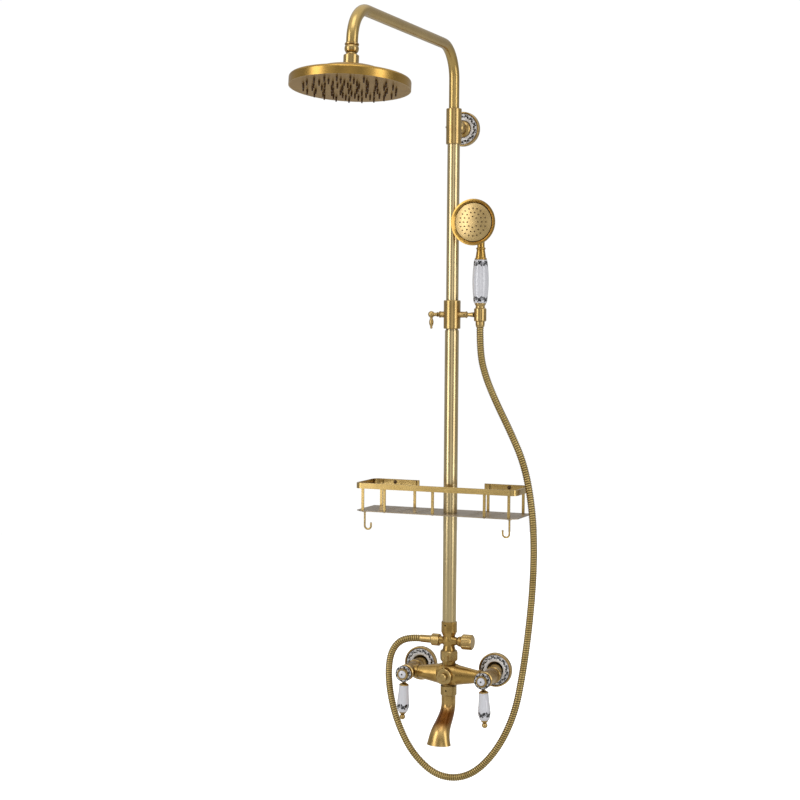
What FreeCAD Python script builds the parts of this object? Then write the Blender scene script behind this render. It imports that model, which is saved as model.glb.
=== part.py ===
import FreeCAD, Part
import math
import os

os.makedirs("parts", exist_ok=True)

V = FreeCAD.Vector

# Exposed rainfall shower column in antique brass with porcelain trim, in millimetres.
# +X is to the right of someone facing the wall, +Y goes into the wall, +Z is up.
# The origin is on the finished wall, midway between the two water inlets.

# ---- driving dimensions: wall, inlets and mixer ----
INLET_SPACING = 150.0        # between the two wall inlets
VALVE_SPACING = 156.0        # between the two valve axes
UNION_RISE = 5.0             # the mixer body sits this far below the inlets
COLUMN_OFFSET = 54.0         # column axis in front of the wall
TAIL_RADIUS = 10.48          # G1/2 inlet thread
TAIL_LENGTH = 14.0
THREAD_START = 2.0           # the inlet threads and screw shanks begin this deep in the wall
THREAD_RELIEF = 0.8          # depth of the turned-down neck in front of each inlet thread
INLET_BORE = 6.0
FLANGE_RADIUS = 32.0
FLANGE_BASE = 3.0            # thickness of a flange's back plate
FLANGE_LIP = 9.5             # height of its rolled lip
FLANGE_LIP_WIDTH = 3.2
PORCELAIN_INNER = 16.0
PORCELAIN_CROWN = 9.0
UNION_CONE_GAP = 1.8         # between the union's cone and the porcelain ring round it
UNION_CONE_LENGTH = 20.0     # from the wall to the union nut
UNION_NUT_RADIUS = 15.6
UNION_NUT_LENGTH = 10.0
UNION_NUT_WALL = 3.6
BARREL_RADIUS = 13.8
BARREL_PROUD = 16.0          # front of the valve barrels, in front of the column axis
BODY_BULGE = 22.5
BODY_ARM_ROOT = 15.5
BODY_ARM_END = 11.8
WATERWAY = 7.5
MIXER_SPIGOT_RADIUS = 12.5   # joint inside the hexagon nut, the same for the mixer and the tee

# ---- driving dimensions: valves and lever handles ----
CARTRIDGE_RADIUS = 10.0
CARTRIDGE_LENGTH = 24.0
SPINDLE_RADIUS = 4.0
BONNET_RADIUS = 15.2
BONNET_LENGTH = 7.0
HUB_RADIUS = 13.0
HUB_LENGTH = 17.0
HUB_GAP = 0.4                # between the bonnet and the turning hub
SKIRT_FROM_HUB = 9.0         # back of the skirt from the back of the hub
LEVER_FROM_HUB = 3.9         # lever axis from the back of the hub
SKIRT_RADIUS = 17.8
SKIRT_THICKNESS = 3.6
CAP_RADIUS = 7.6
CAP_DEPTH = 4.0
CAP_COLLAR_WALL = 3.4        # wall of the hub's collar round the cap
CAP_CROWN = 1.4              # how far the domed cap stands in front of the hub
HANDLE_SPLAY = 2.5           # degrees that each lever leans outwards
LEVER_NECK_START = 14.0      # distances down the lever, from the valve axis
LEVER_CONE_END = 22.0
LEVER_GRIP_END = 73.0
LEVER_TIP = 88.0
LEVER_GRIP_RADIUS = 11.8
LEVER_GRIP_TOP = 9.0
LEVER_GRIP_BOTTOM = 8.2
LEVER_ROD_RADIUS = 3.0
LEVER_BALL_RADIUS = 5.4

# ---- driving dimensions: bath and shower dial, spout ----
DIAL_BOSS_RADIUS = 15.5
DIAL_BOSS_HEIGHT = 1.5       # how far the dial's boss stands in front of the swollen middle
DIAL_RADIUS = 14.6
DIAL_THICKNESS = 4.0
DIAL_GAP = 0.3               # between the boss and the turning dial
DIAL_SPOOL_RADIUS = 5.0
DIAL_BUTTON_RADIUS = 7.0
DIAL_BUTTON_LENGTH = 7.5
DIAL_PIN_RADIUS = 1.7
DIAL_PIN_TOP = 36.0          # above the mixer axis
SPOUT_SLEEVE_WALL = 2.0      # wall of the collar where it holds the spout
SPOUT_COLLAR_WALL = 2.2
SPOUT_COLLAR_TOP = 21.5      # distances below the mixer axis
SPOUT_COLLAR_END = 39.0
SPOUT_RADIUS = 13.2
SPOUT_WALL = 2.0
SPOUT_STRAIGHT_END = 56.0
SPOUT_DROP = 122.0
SPOUT_REACH = 49.0
SPOUT_MOUTH_WIDTH = 46.0
SPOUT_MOUTH_DEPTH = 32.0

# ---- driving dimensions: diverter tee and column ----
TEE_HEIGHT = 58.0            # above the inlets
TEE_RADIUS = 12.0
RISER_NUT_RADIUS = 17.4      # across the corners
RISER_NUT_BOTTOM = 21.0
RISER_NUT_TOP = 40.0
TEE_COLLAR_WALL = 1.8
TEE_COLLAR_BOTTOM = 75.0
TEE_COLLAR_TOP = 94.5
TEE_SOCKET_LIP = 5.0         # floor of the column's socket above the bottom of its collar
TEE_OUTLET_RADIUS = 8.0
TEE_OUTLET_LENGTH = 8.0      # length of the outlet inside the hose nut
SPOOL_RADIUS = 4.0           # diverter spool
KNOB_RADIUS = 14.3
KNOB_START = 25.0            # from the column axis
KNOB_LENGTH = 22.0
KNOB_FLUTES = 10
HOSE_NUT_START = 18.0
HOSE_NUT_LENGTH = 16.0
HOSE_NUT_RADIUS = 11.4
LOWER_WALL = 1.4
SEAM_HEIGHT = 512.0
SPIGOT_LENGTH = 20.0
MIDDLE_TOP_GAP = 2.7         # between the middle tube's top and the slider above it
UPPER_WALL = 1.92
UPPER_OVERLAP = 77.0         # length of the upper tube inside the middle one
TELESCOPE_GAP = 0.1
FIT = 0.08                   # radial clearance of tubes, sleeves and spindles in their bores
GRUB_RADIUS = 1.6
GRUB_RECESS = 0.8            # how far a set screw lies below its collar's surface

# ---- driving dimensions: top wall bracket and arm ----
BRACKET_HEIGHT = 1011.0
BRACKET_COLLAR_WALL = 2.7
BRACKET_COLLAR_LENGTH = 65.0
BRACKET_BALL_RADIUS = 12.0
BRACKET_BALL_FROM_WALL = 25.5
BRACKET_STEM_RADIUS = 6.5
BRACKET_PLATE_RADIUS = 14.0
BOSS_GAP = 0.4               # between the boss and the porcelain ring round it
BOSS_WALL = 2.6
BRACKET_BOSS_FRONT = 13.0
BRACKET_PLATE = 3.0          # thickness of the plate screwed to the wall
BOSS_SOCKET_DEPTH = 5.0      # depth of the boss's socket for the bracket's stem
COLUMN_SOCKET_TOP = 10.0     # top of the column tube below the top of the bracket's collar
BRACKET_SCREW_SPACING = 18.0
SCREW_RADIUS = 2.0
SCREW_HEAD_RADIUS = 3.8
SCREW_HEAD_HEIGHT = 2.4
SCREW_DEPTH = 14.0           # length in the wall
SCREW_NECK = 0.4             # how much thinner a screw is where it passes through a plate
LOCK_THREAD = 2.5
LOCK_STEM_LENGTH = 24.0
ARM_RADIUS = 9.5
ARM_WALL = 1.4
ARM_RISE = 143.0             # arm above the bracket
ARM_REACH = 466.0            # column axis to the swivel ball
ARM_DROP = 80.0              # arm axis to the swivel ball
ARM_BEND = 58.0
ARM_INSERTION = 130.0        # tube inside the column, below the bracket collar's top
HEAD_LEAN = 6.0              # degrees that the arm's end leans forward
GUIDE_LENGTH = 8.0
GUIDE_SPIGOT = 7.0

# ---- driving dimensions: swivel and rain head ----
BALL_RADIUS = 9.0
ADAPTER_WALL = 1.9
ADAPTER_START = 4.0          # along the arm's end, above the ball's centre
ADAPTER_END = 20.0
ADAPTER_SOCKET = 9.0         # floor of the socket for the arm, above the ball's centre
SOLDER_GAP = 0.02            # radial gap of soldered joints
SWIVEL_NUT_WALL = 1.72
SEAT_THICKNESS = 1.6
CROWN_RISE = 34.0            # crown of the rain head above its face
HEAD_RADIUS = 97.0
HEAD_RIM_HEIGHT = 13.0
HEAD_FACE_BELOW_BALL = 52.0
HEAD_WALL = 2.0
MAT_THICKNESS = 1.6
FACE_THICKNESS = 1.8
NOZZLE_RINGS = ((14.0, 6), (29.0, 10), (44.0, 14), (59.0, 18), (74.0, 22))
NOZZLE_RADIUS = 1.7
NOZZLE_LENGTH = 7.0

# ---- driving dimensions: hand shower and its slider ----
HOLDER_HEIGHT = 666.0
HANDSET_OFFSET = 55.0        # handset axis to the right of the column axis
SLIDER_WALL = 2.34
SLIDER_LENGTH = 52.6
BUSH_WALL = 1.6
CRADLE_WALL = 2.5
CRADLE_LENGTH = 24.6
CRADLE_CLEARANCE = 0.5       # between the cradle's bore and the hand shower's stem
PIVOT_RADIUS = 2.5
CRADLE_GAP = 0.8             # between the cradle and the slider's arm
LOCK_STEM_RADIUS = 2.0
LOCK_STEM_START = 3.0        # end of the lock's stem outside the collar
LOCK_BALL_X = 41.0           # column axis to the slider's lock ball
LOCK_BALL_RADIUS = 6.2
HANDSET_STEM_RADIUS = 8.4
HANDSET_THREAD_STEP = 2.0    # the thread inside the hose nut is this much smaller than the stem
HANDSET_THREAD_END = 7.2     # bottom of that thread, below the middle of the cradle
HOSE_BORE = 4.5              # waterway through the hose's nuts and the grip
BELL_STEP = 2.2              # the bell stands this far outside the stem
BELL_LENGTH = 8.5
BELL_GAP = 0.4               # between the bell and the cradle's top
GRIP_LENGTH = 80.0
GRIP_RADIUS = 15.3
GRIP_END_RADIUS = 12.6
GRIP_ROD_RADIUS = 6.0
NECK_BASE_RADIUS = 9.6
NECK_RADIUS = 6.8
NECK_WALL = 2.0
HANDSET_HEAD_RADIUS = 42.0
HANDSET_HEAD_ABOVE_GRIP = 66.0
HANDSET_HEAD_FORWARD = 45.0
HANDSET_HEAD_DEPTH = 20.0
HANDSET_RIM_WIDTH = 7.5      # from the head's edge to its spray plate
HANDSET_SEAT_DEPTH = 7.0     # back of the spray plate behind the rim
HANDSET_NOZZLE_RADIUS = 1.0
HANDSET_RINGS = ((10.0, 8), (17.5, 14), (25.0, 20))

# ---- driving dimensions: shelf ----
SHELF_WIDTH = 318.0
SHELF_DEPTH = 96.0
SHELF_SHIFT = -17.0          # shelf centre from the column axis
SHELF_TOP = 350.0
SHELF_HEIGHT = 52.0          # rail top to plate top
SHELF_PLATE = 1.6
RAIL_HEIGHT = 10.5
RAIL_THICKNESS = 3.0
SHELF_CORNER = 12.0
PLATE_HOLE_CLEARANCE = 0.3   # between the column and the hole in the shelf's plate
SLOT_PITCH = 34.0
SLOT_LENGTH = 22.0
SLOT_WIDTH = 4.4
SLOT_ROWS = (-20.0, -40.0, -60.0, -80.0)
BACK_GAP = 132.0             # gap in the back rail, for the column
POST_WIDTH = 5.0
POST_THICKNESS = 2.5
FRONT_POSTS = (-144.0, -100.0, -4.0, 97.0, 144.0)
BACK_POSTS = (-143.0, -74.0, 74.0, 143.0)
KEYHOLE_SPACING = 230.0
HOOK_WIRE = 1.8
HOOK_BEND = 6.4
HOOK_DROP = 34.0

# ---- driving dimensions: hose ----
HOSE_RADIUS = 6.75
HOSE_ROUTE = (
    (55, -54, 643), (55, -54, 597), (67, -54, 551), (90, -55, 502), (117, -56, 452),
    (143, -57, 397), (158, -58, 332), (165, -58, 258), (164, -58, 178), (157, -58, 93),
    (146, -58, 8), (131, -58, -70), (96, -57, -142), (44, -56, -195), (-18, -55, -203),
    (-70, -55, -165), (-103, -54, -108), (-120, -54, -46), (-122, -54, 8), (-110, -54, 41),
    (-84, -54, 58), (-56, -54, 58),
)

# ---- places worked out from the driving dimensions ----
COLUMN_Y = -COLUMN_OFFSET
MIXER_Z = -UNION_RISE
DIAL_BOSS_FRONT = COLUMN_OFFSET + BODY_BULGE + DIAL_BOSS_HEIGHT
DIAL_START = DIAL_BOSS_FRONT + DIAL_GAP
BARREL_FRONT = COLUMN_OFFSET + BARREL_PROUD
HUB_START = BARREL_FRONT + BONNET_LENGTH + HUB_GAP
HUB_END = HUB_START + HUB_LENGTH
SKIRT_START = HUB_START + SKIRT_FROM_HUB
SKIRT_END = SKIRT_START + SKIRT_THICKNESS
LEVER_FROM_WALL = HUB_START + LEVER_FROM_HUB
CAP_COLLAR_RADIUS = CAP_RADIUS + CAP_COLLAR_WALL
UNION_SPIGOT_RADIUS = UNION_NUT_RADIUS - UNION_NUT_WALL
UNION_CONE_RADIUS = PORCELAIN_INNER - UNION_CONE_GAP
SPOUT_COLLAR_RADIUS = SPOUT_RADIUS + SPOUT_SLEEVE_WALL
SPOUT_SPIGOT_RADIUS = SPOUT_COLLAR_RADIUS - SPOUT_COLLAR_WALL
TEE_SOCKET_FLOOR = TEE_COLLAR_BOTTOM + TEE_SOCKET_LIP
UPPER_BORE = ARM_RADIUS + FIT
UPPER_RADIUS = UPPER_BORE + UPPER_WALL
LOWER_RADIUS = UPPER_RADIUS + TELESCOPE_GAP + LOWER_WALL
TEE_COLLAR_RADIUS = LOWER_RADIUS + TEE_COLLAR_WALL
BRACKET_COLLAR_RADIUS = UPPER_RADIUS + BRACKET_COLLAR_WALL
BRACKET_BOSS_RADIUS = PORCELAIN_INNER - BOSS_GAP
BRACKET_BOTTOM = BRACKET_HEIGHT - BRACKET_COLLAR_LENGTH / 2
BRACKET_TOP = BRACKET_HEIGHT + BRACKET_COLLAR_LENGTH / 2
UPPER_TOP = BRACKET_TOP - COLUMN_SOCKET_TOP
ARM_HEIGHT = BRACKET_HEIGHT + ARM_RISE
ARM_BOTTOM = BRACKET_TOP - ARM_INSERTION
ADAPTER_RADIUS = ARM_RADIUS + ADAPTER_WALL
SEAT_BORE = BALL_RADIUS + FIT
SEAT_OUTER = SEAT_BORE + SEAT_THICKNESS
SWIVEL_NUT_RADIUS = SEAT_OUTER + SWIVEL_NUT_WALL
NUT_BOTTOM = HEAD_FACE_BELOW_BALL - CROWN_RISE
BUSH_BORE = UPPER_RADIUS + FIT
SLIDER_BOTTOM = HOLDER_HEIGHT - SLIDER_LENGTH / 2
SLIDER_TOP = HOLDER_HEIGHT + SLIDER_LENGTH / 2
SLIDER_RADIUS = BUSH_BORE + BUSH_WALL + FIT + SLIDER_WALL
MIDDLE_TOP = SLIDER_BOTTOM - MIDDLE_TOP_GAP
UPPER_BOTTOM = MIDDLE_TOP - UPPER_OVERLAP
CRADLE_BORE = HANDSET_STEM_RADIUS + CRADLE_CLEARANCE
CRADLE_RADIUS = CRADLE_BORE + CRADLE_WALL
HANDSET_THREAD_RADIUS = HANDSET_STEM_RADIUS - HANDSET_THREAD_STEP
BELL_RADIUS = HANDSET_STEM_RADIUS + BELL_STEP
ARM_FACE = HANDSET_OFFSET - CRADLE_RADIUS - CRADLE_GAP
BELL_START = CRADLE_LENGTH / 2 + BELL_GAP
BELL_TOP = BELL_START + BELL_LENGTH
GRIP_TOP = BELL_TOP + GRIP_LENGTH
PLATE_BOTTOM = SHELF_TOP - SHELF_HEIGHT - SHELF_PLATE
OUT = V(0, -1, 0)            # out of the wall
UP = V(0, 0, 1)
DOWN = V(0, 0, -1)
RIGHT = V(1, 0, 0)
LEFT = V(-1, 0, 0)


# ---- making shapes ----
def dome_middle(start, tip):
    """Halfway point of a round end that runs from a start point to a tip on the axis."""
    rise = abs(tip - start.z)
    up = 1 if tip > start.z else -1
    radius = (start.x ** 2 + rise ** 2) / (2 * rise)
    centre = tip - up * radius
    half = math.atan2(start.x, up * (start.z - centre)) / 2
    return V(radius * math.sin(half), 0, centre + up * radius * math.cos(half))


def outline_wire(points):
    """A closed wire in the XZ plane. A pair is a corner, four numbers are an arc's middle and its end,
    and a single number is the tip of a round end that meets the axis squarely."""
    edges = []
    start = V(points[0][0], 0, points[0][1])
    first = start
    for point in points[1:]:
        if len(point) == 1:
            end = V(0, 0, point[0])
            edges.append(Part.Arc(start, dome_middle(start, point[0]), end).toShape())
            start = end
            continue
        end = V(point[-2], 0, point[-1])
        if len(point) == 4:
            edges.append(Part.Arc(start, V(point[0], 0, point[1]), end).toShape())
        else:
            edges.append(Part.LineSegment(start, end).toShape())
        start = end
    edges.append(Part.LineSegment(start, first).toShape())
    return Part.Wire(edges)


def aim(shape, base, direction):
    """The shape with its own Z axis laid along a direction from a base point."""
    placed = shape.copy()
    placed.Placement = FreeCAD.Placement(base, FreeCAD.Rotation(UP, direction))
    return placed


def turned(points, base=V(0, 0, 0), direction=UP):
    """A solid turned on a lathe: points are (radius, distance along the axis)."""
    solid = Part.Face(outline_wire(points)).revolve(V(0, 0, 0), UP, 360)
    return aim(solid, base, direction)


def rod(radius, start, end, base=V(0, 0, 0), direction=UP):
    return aim(Part.makeCylinder(radius, end - start, V(0, 0, start)), base, direction)


def tube(outer, inner, start, end, base=V(0, 0, 0), direction=UP):
    return rod(outer, start, end, base, direction).cut(rod(inner, start - 1, end + 1, base, direction))


def ball(radius, centre):
    return Part.makeSphere(radius, centre)


def joined(*shapes):
    return shapes[0].multiFuse(list(shapes[1:])).removeSplitter()


def circle_wire(radius, centre, normal):
    return Part.Wire(Part.Circle(centre, normal, radius).toShape())


def ellipse_wire(half_x, half_y, centre, lean):
    """An upright ellipse across the spout, leaning forward by some degrees about X."""
    curve = Part.Ellipse(V(0, 0, 0), half_x, half_y).toShape()
    curve.Placement = FreeCAD.Placement(centre, FreeCAD.Rotation(RIGHT, lean))
    return Part.Wire(curve)


def box(x0, x1, y0, y1, z0, z1):
    return Part.makeBox(x1 - x0, y1 - y0, z1 - z0, V(x0, y0, z0))


def save(name, shape):
    shape.exportStep(f"parts/{name}.step")


# ---- wall inlets and flanges ----
def flange_rim(centre, bore):
    lip_inner = FLANGE_RADIUS - FLANGE_LIP_WIDTH
    lip_middle = FLANGE_RADIUS - FLANGE_LIP_WIDTH / 2
    crown = FLANGE_LIP - FLANGE_LIP_WIDTH / 2
    return turned([
        (bore, 0), (FLANGE_RADIUS, 0), (FLANGE_RADIUS, crown),
        (lip_middle, FLANGE_LIP, lip_inner, crown), (lip_inner, FLANGE_BASE), (bore, FLANGE_BASE),
    ], centre, OUT)


def flange_porcelain(centre):
    outer = FLANGE_RADIUS - FLANGE_LIP_WIDTH - FIT
    middle = (outer + PORCELAIN_INNER) / 2
    return turned([
        (PORCELAIN_INNER, FLANGE_BASE), (outer, FLANGE_BASE), (outer, FLANGE_LIP - 3.2),
        (middle, PORCELAIN_CROWN, PORCELAIN_INNER, PORCELAIN_CROWN - 0.8),
    ], centre, OUT)


def inlet_point(side):
    return V(side * INLET_SPACING / 2, 0, 0)


def valve_point(side):
    return V(side * VALVE_SPACING / 2, 0, MIXER_Z)


def s_union(side):
    """Threaded tail on the inlet axis, and an offset cone that ends on the valve axis."""
    inlet = inlet_point(side)
    valve = valve_point(side)
    cone_start = inlet + OUT * FLANGE_BASE
    cone_end = valve + OUT * UNION_CONE_LENGTH
    cone = Part.makeLoft([
        circle_wire(UNION_CONE_RADIUS, cone_start, OUT),
        circle_wire(UNION_SPIGOT_RADIUS + 1, cone_end, OUT)], True, True)
    neck = TAIL_RADIUS - THREAD_RELIEF
    tail = turned([
        (0, -TAIL_LENGTH), (TAIL_RADIUS, -TAIL_LENGTH), (TAIL_RADIUS, -THREAD_START), (neck, -THREAD_START),
        (neck, FLANGE_BASE), (0, FLANGE_BASE),
    ], inlet, OUT)
    spigot = rod(UNION_SPIGOT_RADIUS, 0, UNION_NUT_LENGTH, cone_end, OUT)
    bore_tail = rod(INLET_BORE, -TAIL_LENGTH - 1, FLANGE_BASE, inlet, OUT)
    bore_slant = Part.makeLoft([
        circle_wire(INLET_BORE, cone_start, OUT), circle_wire(INLET_BORE, cone_end, OUT)], True, True)
    bore_spigot = rod(INLET_BORE, 0, UNION_NUT_LENGTH + 1, cone_end, OUT)
    return joined(tail, cone, spigot).cut(joined(bore_tail, bore_slant, bore_spigot))


def union_nut(side):
    base = valve_point(side) + OUT * UNION_CONE_LENGTH
    inner = UNION_SPIGOT_RADIUS + FIT
    edge = 1.5
    return turned([
        (inner, 0), (UNION_NUT_RADIUS - edge, 0), (UNION_NUT_RADIUS, edge),
        (UNION_NUT_RADIUS, UNION_NUT_LENGTH - edge), (UNION_NUT_RADIUS - edge, UNION_NUT_LENGTH),
        (inner, UNION_NUT_LENGTH),
    ], base, OUT)


# ---- mixer body ----
def mixer_body():
    """Cast cross-shaped body: a swollen middle, two tapering arms and the two valve barrels."""
    centre = V(0, COLUMN_Y, MIXER_Z)
    half = VALVE_SPACING / 2
    arms = turned([
        (0, -half), (BODY_ARM_END, -half), (BODY_ARM_END, 20 - half),
        (BODY_ARM_ROOT, -36), (BODY_BULGE - 4, -19), (BODY_BULGE, 0, BODY_BULGE - 4, 19),
        (BODY_ARM_ROOT, 36), (BODY_ARM_END, half - 20), (BODY_ARM_END, half), (0, half),
    ], centre, RIGHT)
    barrel_back = UNION_CONE_LENGTH + UNION_NUT_LENGTH
    pieces = [arms]
    for side in (-1, 1):
        ring_x = side * (half - BARREL_RADIUS - 2.5)
        pieces.append(rod(BARREL_RADIUS, barrel_back, BARREL_FRONT, valve_point(side), OUT))
        pieces.append(rod(BODY_ARM_END + 1.6, -2, 2, centre + RIGHT * ring_x, RIGHT))
    pieces.append(rod(MIXER_SPIGOT_RADIUS, 0, RISER_NUT_BOTTOM + 8 - MIXER_Z, centre, UP))
    pieces.append(rod(SPOUT_SPIGOT_RADIUS, 0, SPOUT_COLLAR_TOP + 5, centre, DOWN))
    boss_start = COLUMN_OFFSET - 6
    pieces.append(turned([
        (0, boss_start), (DIAL_BOSS_RADIUS + 3, boss_start), (DIAL_BOSS_RADIUS, DIAL_BOSS_FRONT - 6),
        (DIAL_BOSS_RADIUS, DIAL_BOSS_FRONT), (0, DIAL_BOSS_FRONT),
    ], V(0, 0, MIXER_Z), OUT))
    solid = joined(*pieces)
    ways = [
        rod(WATERWAY, 4 - half, half - 4, centre, RIGHT),
        rod(WATERWAY, -SPOUT_COLLAR_TOP - 6, RISER_NUT_BOTTOM + 9 - MIXER_Z, centre, UP),
        rod(DIAL_SPOOL_RADIUS + FIT, COLUMN_OFFSET, DIAL_BOSS_FRONT + 1, V(0, 0, MIXER_Z), OUT),
    ]
    for side in (-1, 1):
        seat = BARREL_FRONT - CARTRIDGE_LENGTH
        ways.append(rod(CARTRIDGE_RADIUS + FIT, seat, BARREL_FRONT + 1, valve_point(side), OUT))
        ways.append(rod(INLET_BORE, barrel_back - 1, seat, valve_point(side), OUT))
    return solid.cut(joined(*ways))


def riser_nut():
    centre = V(0, COLUMN_Y, 0)
    across = Part.makePolygon([
        V(RISER_NUT_RADIUS * math.cos(math.radians(60 * k)),
          RISER_NUT_RADIUS * math.sin(math.radians(60 * k)), 0) for k in range(7)])
    height = RISER_NUT_TOP - RISER_NUT_BOTTOM
    hexagon = Part.Face(Part.Wire(across)).extrude(V(0, 0, height))
    flat = RISER_NUT_RADIUS * math.cos(math.radians(30))
    rounding = turned([
        (0, 0), (flat, 0), (RISER_NUT_RADIUS, 3), (RISER_NUT_RADIUS, height - 3), (flat, height), (0, height),
    ])
    hexagon = hexagon.common(rounding)
    hexagon = aim(hexagon, centre + UP * RISER_NUT_BOTTOM, UP)
    return hexagon.cut(rod(MIXER_SPIGOT_RADIUS + FIT, RISER_NUT_BOTTOM - 1, RISER_NUT_TOP + 1, centre, UP))


# ---- valves and lever handles ----
def cartridge(side):
    seat = BARREL_FRONT - CARTRIDGE_LENGTH
    return tube(CARTRIDGE_RADIUS, SPINDLE_RADIUS + FIT, seat, BARREL_FRONT, valve_point(side), OUT)


def bonnet(side):
    edge = 1.6
    start = BARREL_FRONT
    end = BARREL_FRONT + BONNET_LENGTH
    return turned([
        (SPINDLE_RADIUS + FIT, start), (BONNET_RADIUS - edge, start), (BONNET_RADIUS, start + edge),
        (BONNET_RADIUS, end - edge), (BONNET_RADIUS - edge, end), (SPINDLE_RADIUS + FIT, end),
    ], valve_point(side), OUT)


def lever_direction(side):
    lean = math.radians(HANDLE_SPLAY)
    return V(side * math.sin(lean), 0, -math.cos(lean))


def lever_base(side):
    return valve_point(side) + OUT * LEVER_FROM_WALL


def handle_hub(side):
    """Bell-shaped hub with its spindle, and the neck and cone that carry the lever's grip."""
    bell = turned([
        (0, HUB_START), (HUB_RADIUS - 2, HUB_START), (HUB_RADIUS, HUB_START + 4, HUB_RADIUS - 1, SKIRT_START),
        (CAP_COLLAR_RADIUS, SKIRT_START), (CAP_COLLAR_RADIUS, SKIRT_END),
        (CAP_COLLAR_RADIUS - 0.8, HUB_END), (CAP_RADIUS + FIT, HUB_END),
        (CAP_RADIUS + FIT, HUB_END - CAP_DEPTH), (0, HUB_END - CAP_DEPTH),
    ], valve_point(side), OUT)
    spindle = rod(SPINDLE_RADIUS, BARREL_FRONT - CARTRIDGE_LENGTH + 1, HUB_START + 1, valve_point(side), OUT)
    cone_start = LEVER_NECK_START + 4.2
    neck = turned([
        (0, 6), (3.9, 6), (3.9, LEVER_NECK_START), (3.0, LEVER_NECK_START + 2.2, 4.4, cone_start),
        (LEVER_GRIP_TOP - 0.6, LEVER_CONE_END - 1.2), (LEVER_GRIP_TOP + 0.4, LEVER_CONE_END),
        (0, LEVER_CONE_END),
    ], lever_base(side), lever_direction(side))
    return joined(bell, spindle, neck)


def handle_skirt(side):
    inner = CAP_COLLAR_RADIUS + FIT
    edge = SKIRT_RADIUS - 1.6
    return turned([
        (inner, SKIRT_START), (edge, SKIRT_START),
        (SKIRT_RADIUS, SKIRT_START + 1.2, edge, SKIRT_END), (inner, SKIRT_END),
    ], valve_point(side), OUT)


def handle_cap(side):
    start = HUB_END - CAP_DEPTH
    return turned([
        (0, start), (CAP_RADIUS, start), (CAP_RADIUS, HUB_END - 0.6),
        (HUB_END + CAP_CROWN,),
    ], valve_point(side), OUT)


def handle_grip(side):
    start = LEVER_CONE_END
    end = LEVER_GRIP_END
    widest = start + (end - start) * 0.68
    bore = LEVER_ROD_RADIUS + FIT
    return turned([
        (bore, start), (LEVER_GRIP_TOP, start),
        (LEVER_GRIP_TOP + 0.9, (start + widest) / 2, LEVER_GRIP_RADIUS, widest),
        (LEVER_GRIP_RADIUS - 0.2, (widest + end) / 2, LEVER_GRIP_BOTTOM, end), (bore, end),
    ], lever_base(side), lever_direction(side))


def handle_finial(side):
    """Rod through the grip, screwed in from below, with a cup and a ball at its end."""
    end = LEVER_GRIP_END
    cup = LEVER_GRIP_BOTTOM - 1.4
    waist = LEVER_TIP - 2 * LEVER_BALL_RADIUS + 1.2
    return turned([
        (0, LEVER_CONE_END), (LEVER_ROD_RADIUS, LEVER_CONE_END), (LEVER_ROD_RADIUS, end),
        (cup, end), (cup, end + 1.6), (3.2, waist), (LEVER_TIP,),
    ], lever_base(side), lever_direction(side))


# ---- bath and shower dial ----
def tub_dial():
    start = DIAL_START
    end = start + DIAL_THICKNESS
    button_end = end + DIAL_BUTTON_LENGTH
    edge = 1.2
    centre = V(0, 0, MIXER_Z)
    back = COLUMN_OFFSET + 4
    return turned([
        (0, back), (DIAL_SPOOL_RADIUS, back), (DIAL_SPOOL_RADIUS, start), (DIAL_RADIUS, start),
        (DIAL_RADIUS, end - edge), (DIAL_RADIUS - edge, end), (DIAL_BUTTON_RADIUS, end),
        (DIAL_BUTTON_RADIUS, button_end - edge), (DIAL_BUTTON_RADIUS - edge, button_end), (0, button_end),
    ], centre, OUT)


def dial_pin():
    """Slim lever screwed into the dial's rim, with a slightly flared tip."""
    middle = DIAL_START + DIAL_THICKNESS / 2
    foot = DIAL_RADIUS + 0.05
    return turned([
        (0, foot), (DIAL_PIN_RADIUS, foot), (DIAL_PIN_RADIUS - 0.5, foot + 3),
        (DIAL_PIN_RADIUS - 0.2, DIAL_PIN_TOP - 5), (DIAL_PIN_RADIUS + 0.5, DIAL_PIN_TOP - 2.2),
        (DIAL_PIN_TOP,),
    ], V(0, -middle, MIXER_Z), UP)


# ---- spout ----
def spout_collar():
    centre = V(0, COLUMN_Y, MIXER_Z)
    length = SPOUT_COLLAR_END - SPOUT_COLLAR_TOP
    inner_top = SPOUT_SPIGOT_RADIUS + FIT
    inner_end = SPOUT_RADIUS + FIT
    shape = turned([
        (inner_top, 0), (SPOUT_COLLAR_RADIUS, 0), (SPOUT_COLLAR_RADIUS, length - 1),
        (SPOUT_COLLAR_RADIUS - 1, length), (inner_end, length), (inner_end, 6), (inner_top, 6),
    ], centre + DOWN * SPOUT_COLLAR_TOP, DOWN)
    return shape.cut(rod(GRUB_RADIUS + FIT, 0, SPOUT_COLLAR_RADIUS + 2, spout_grub_point(), OUT))


def spout_grub_point():
    return V(0, COLUMN_Y, MIXER_Z - SPOUT_COLLAR_TOP - 7.5)


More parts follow.
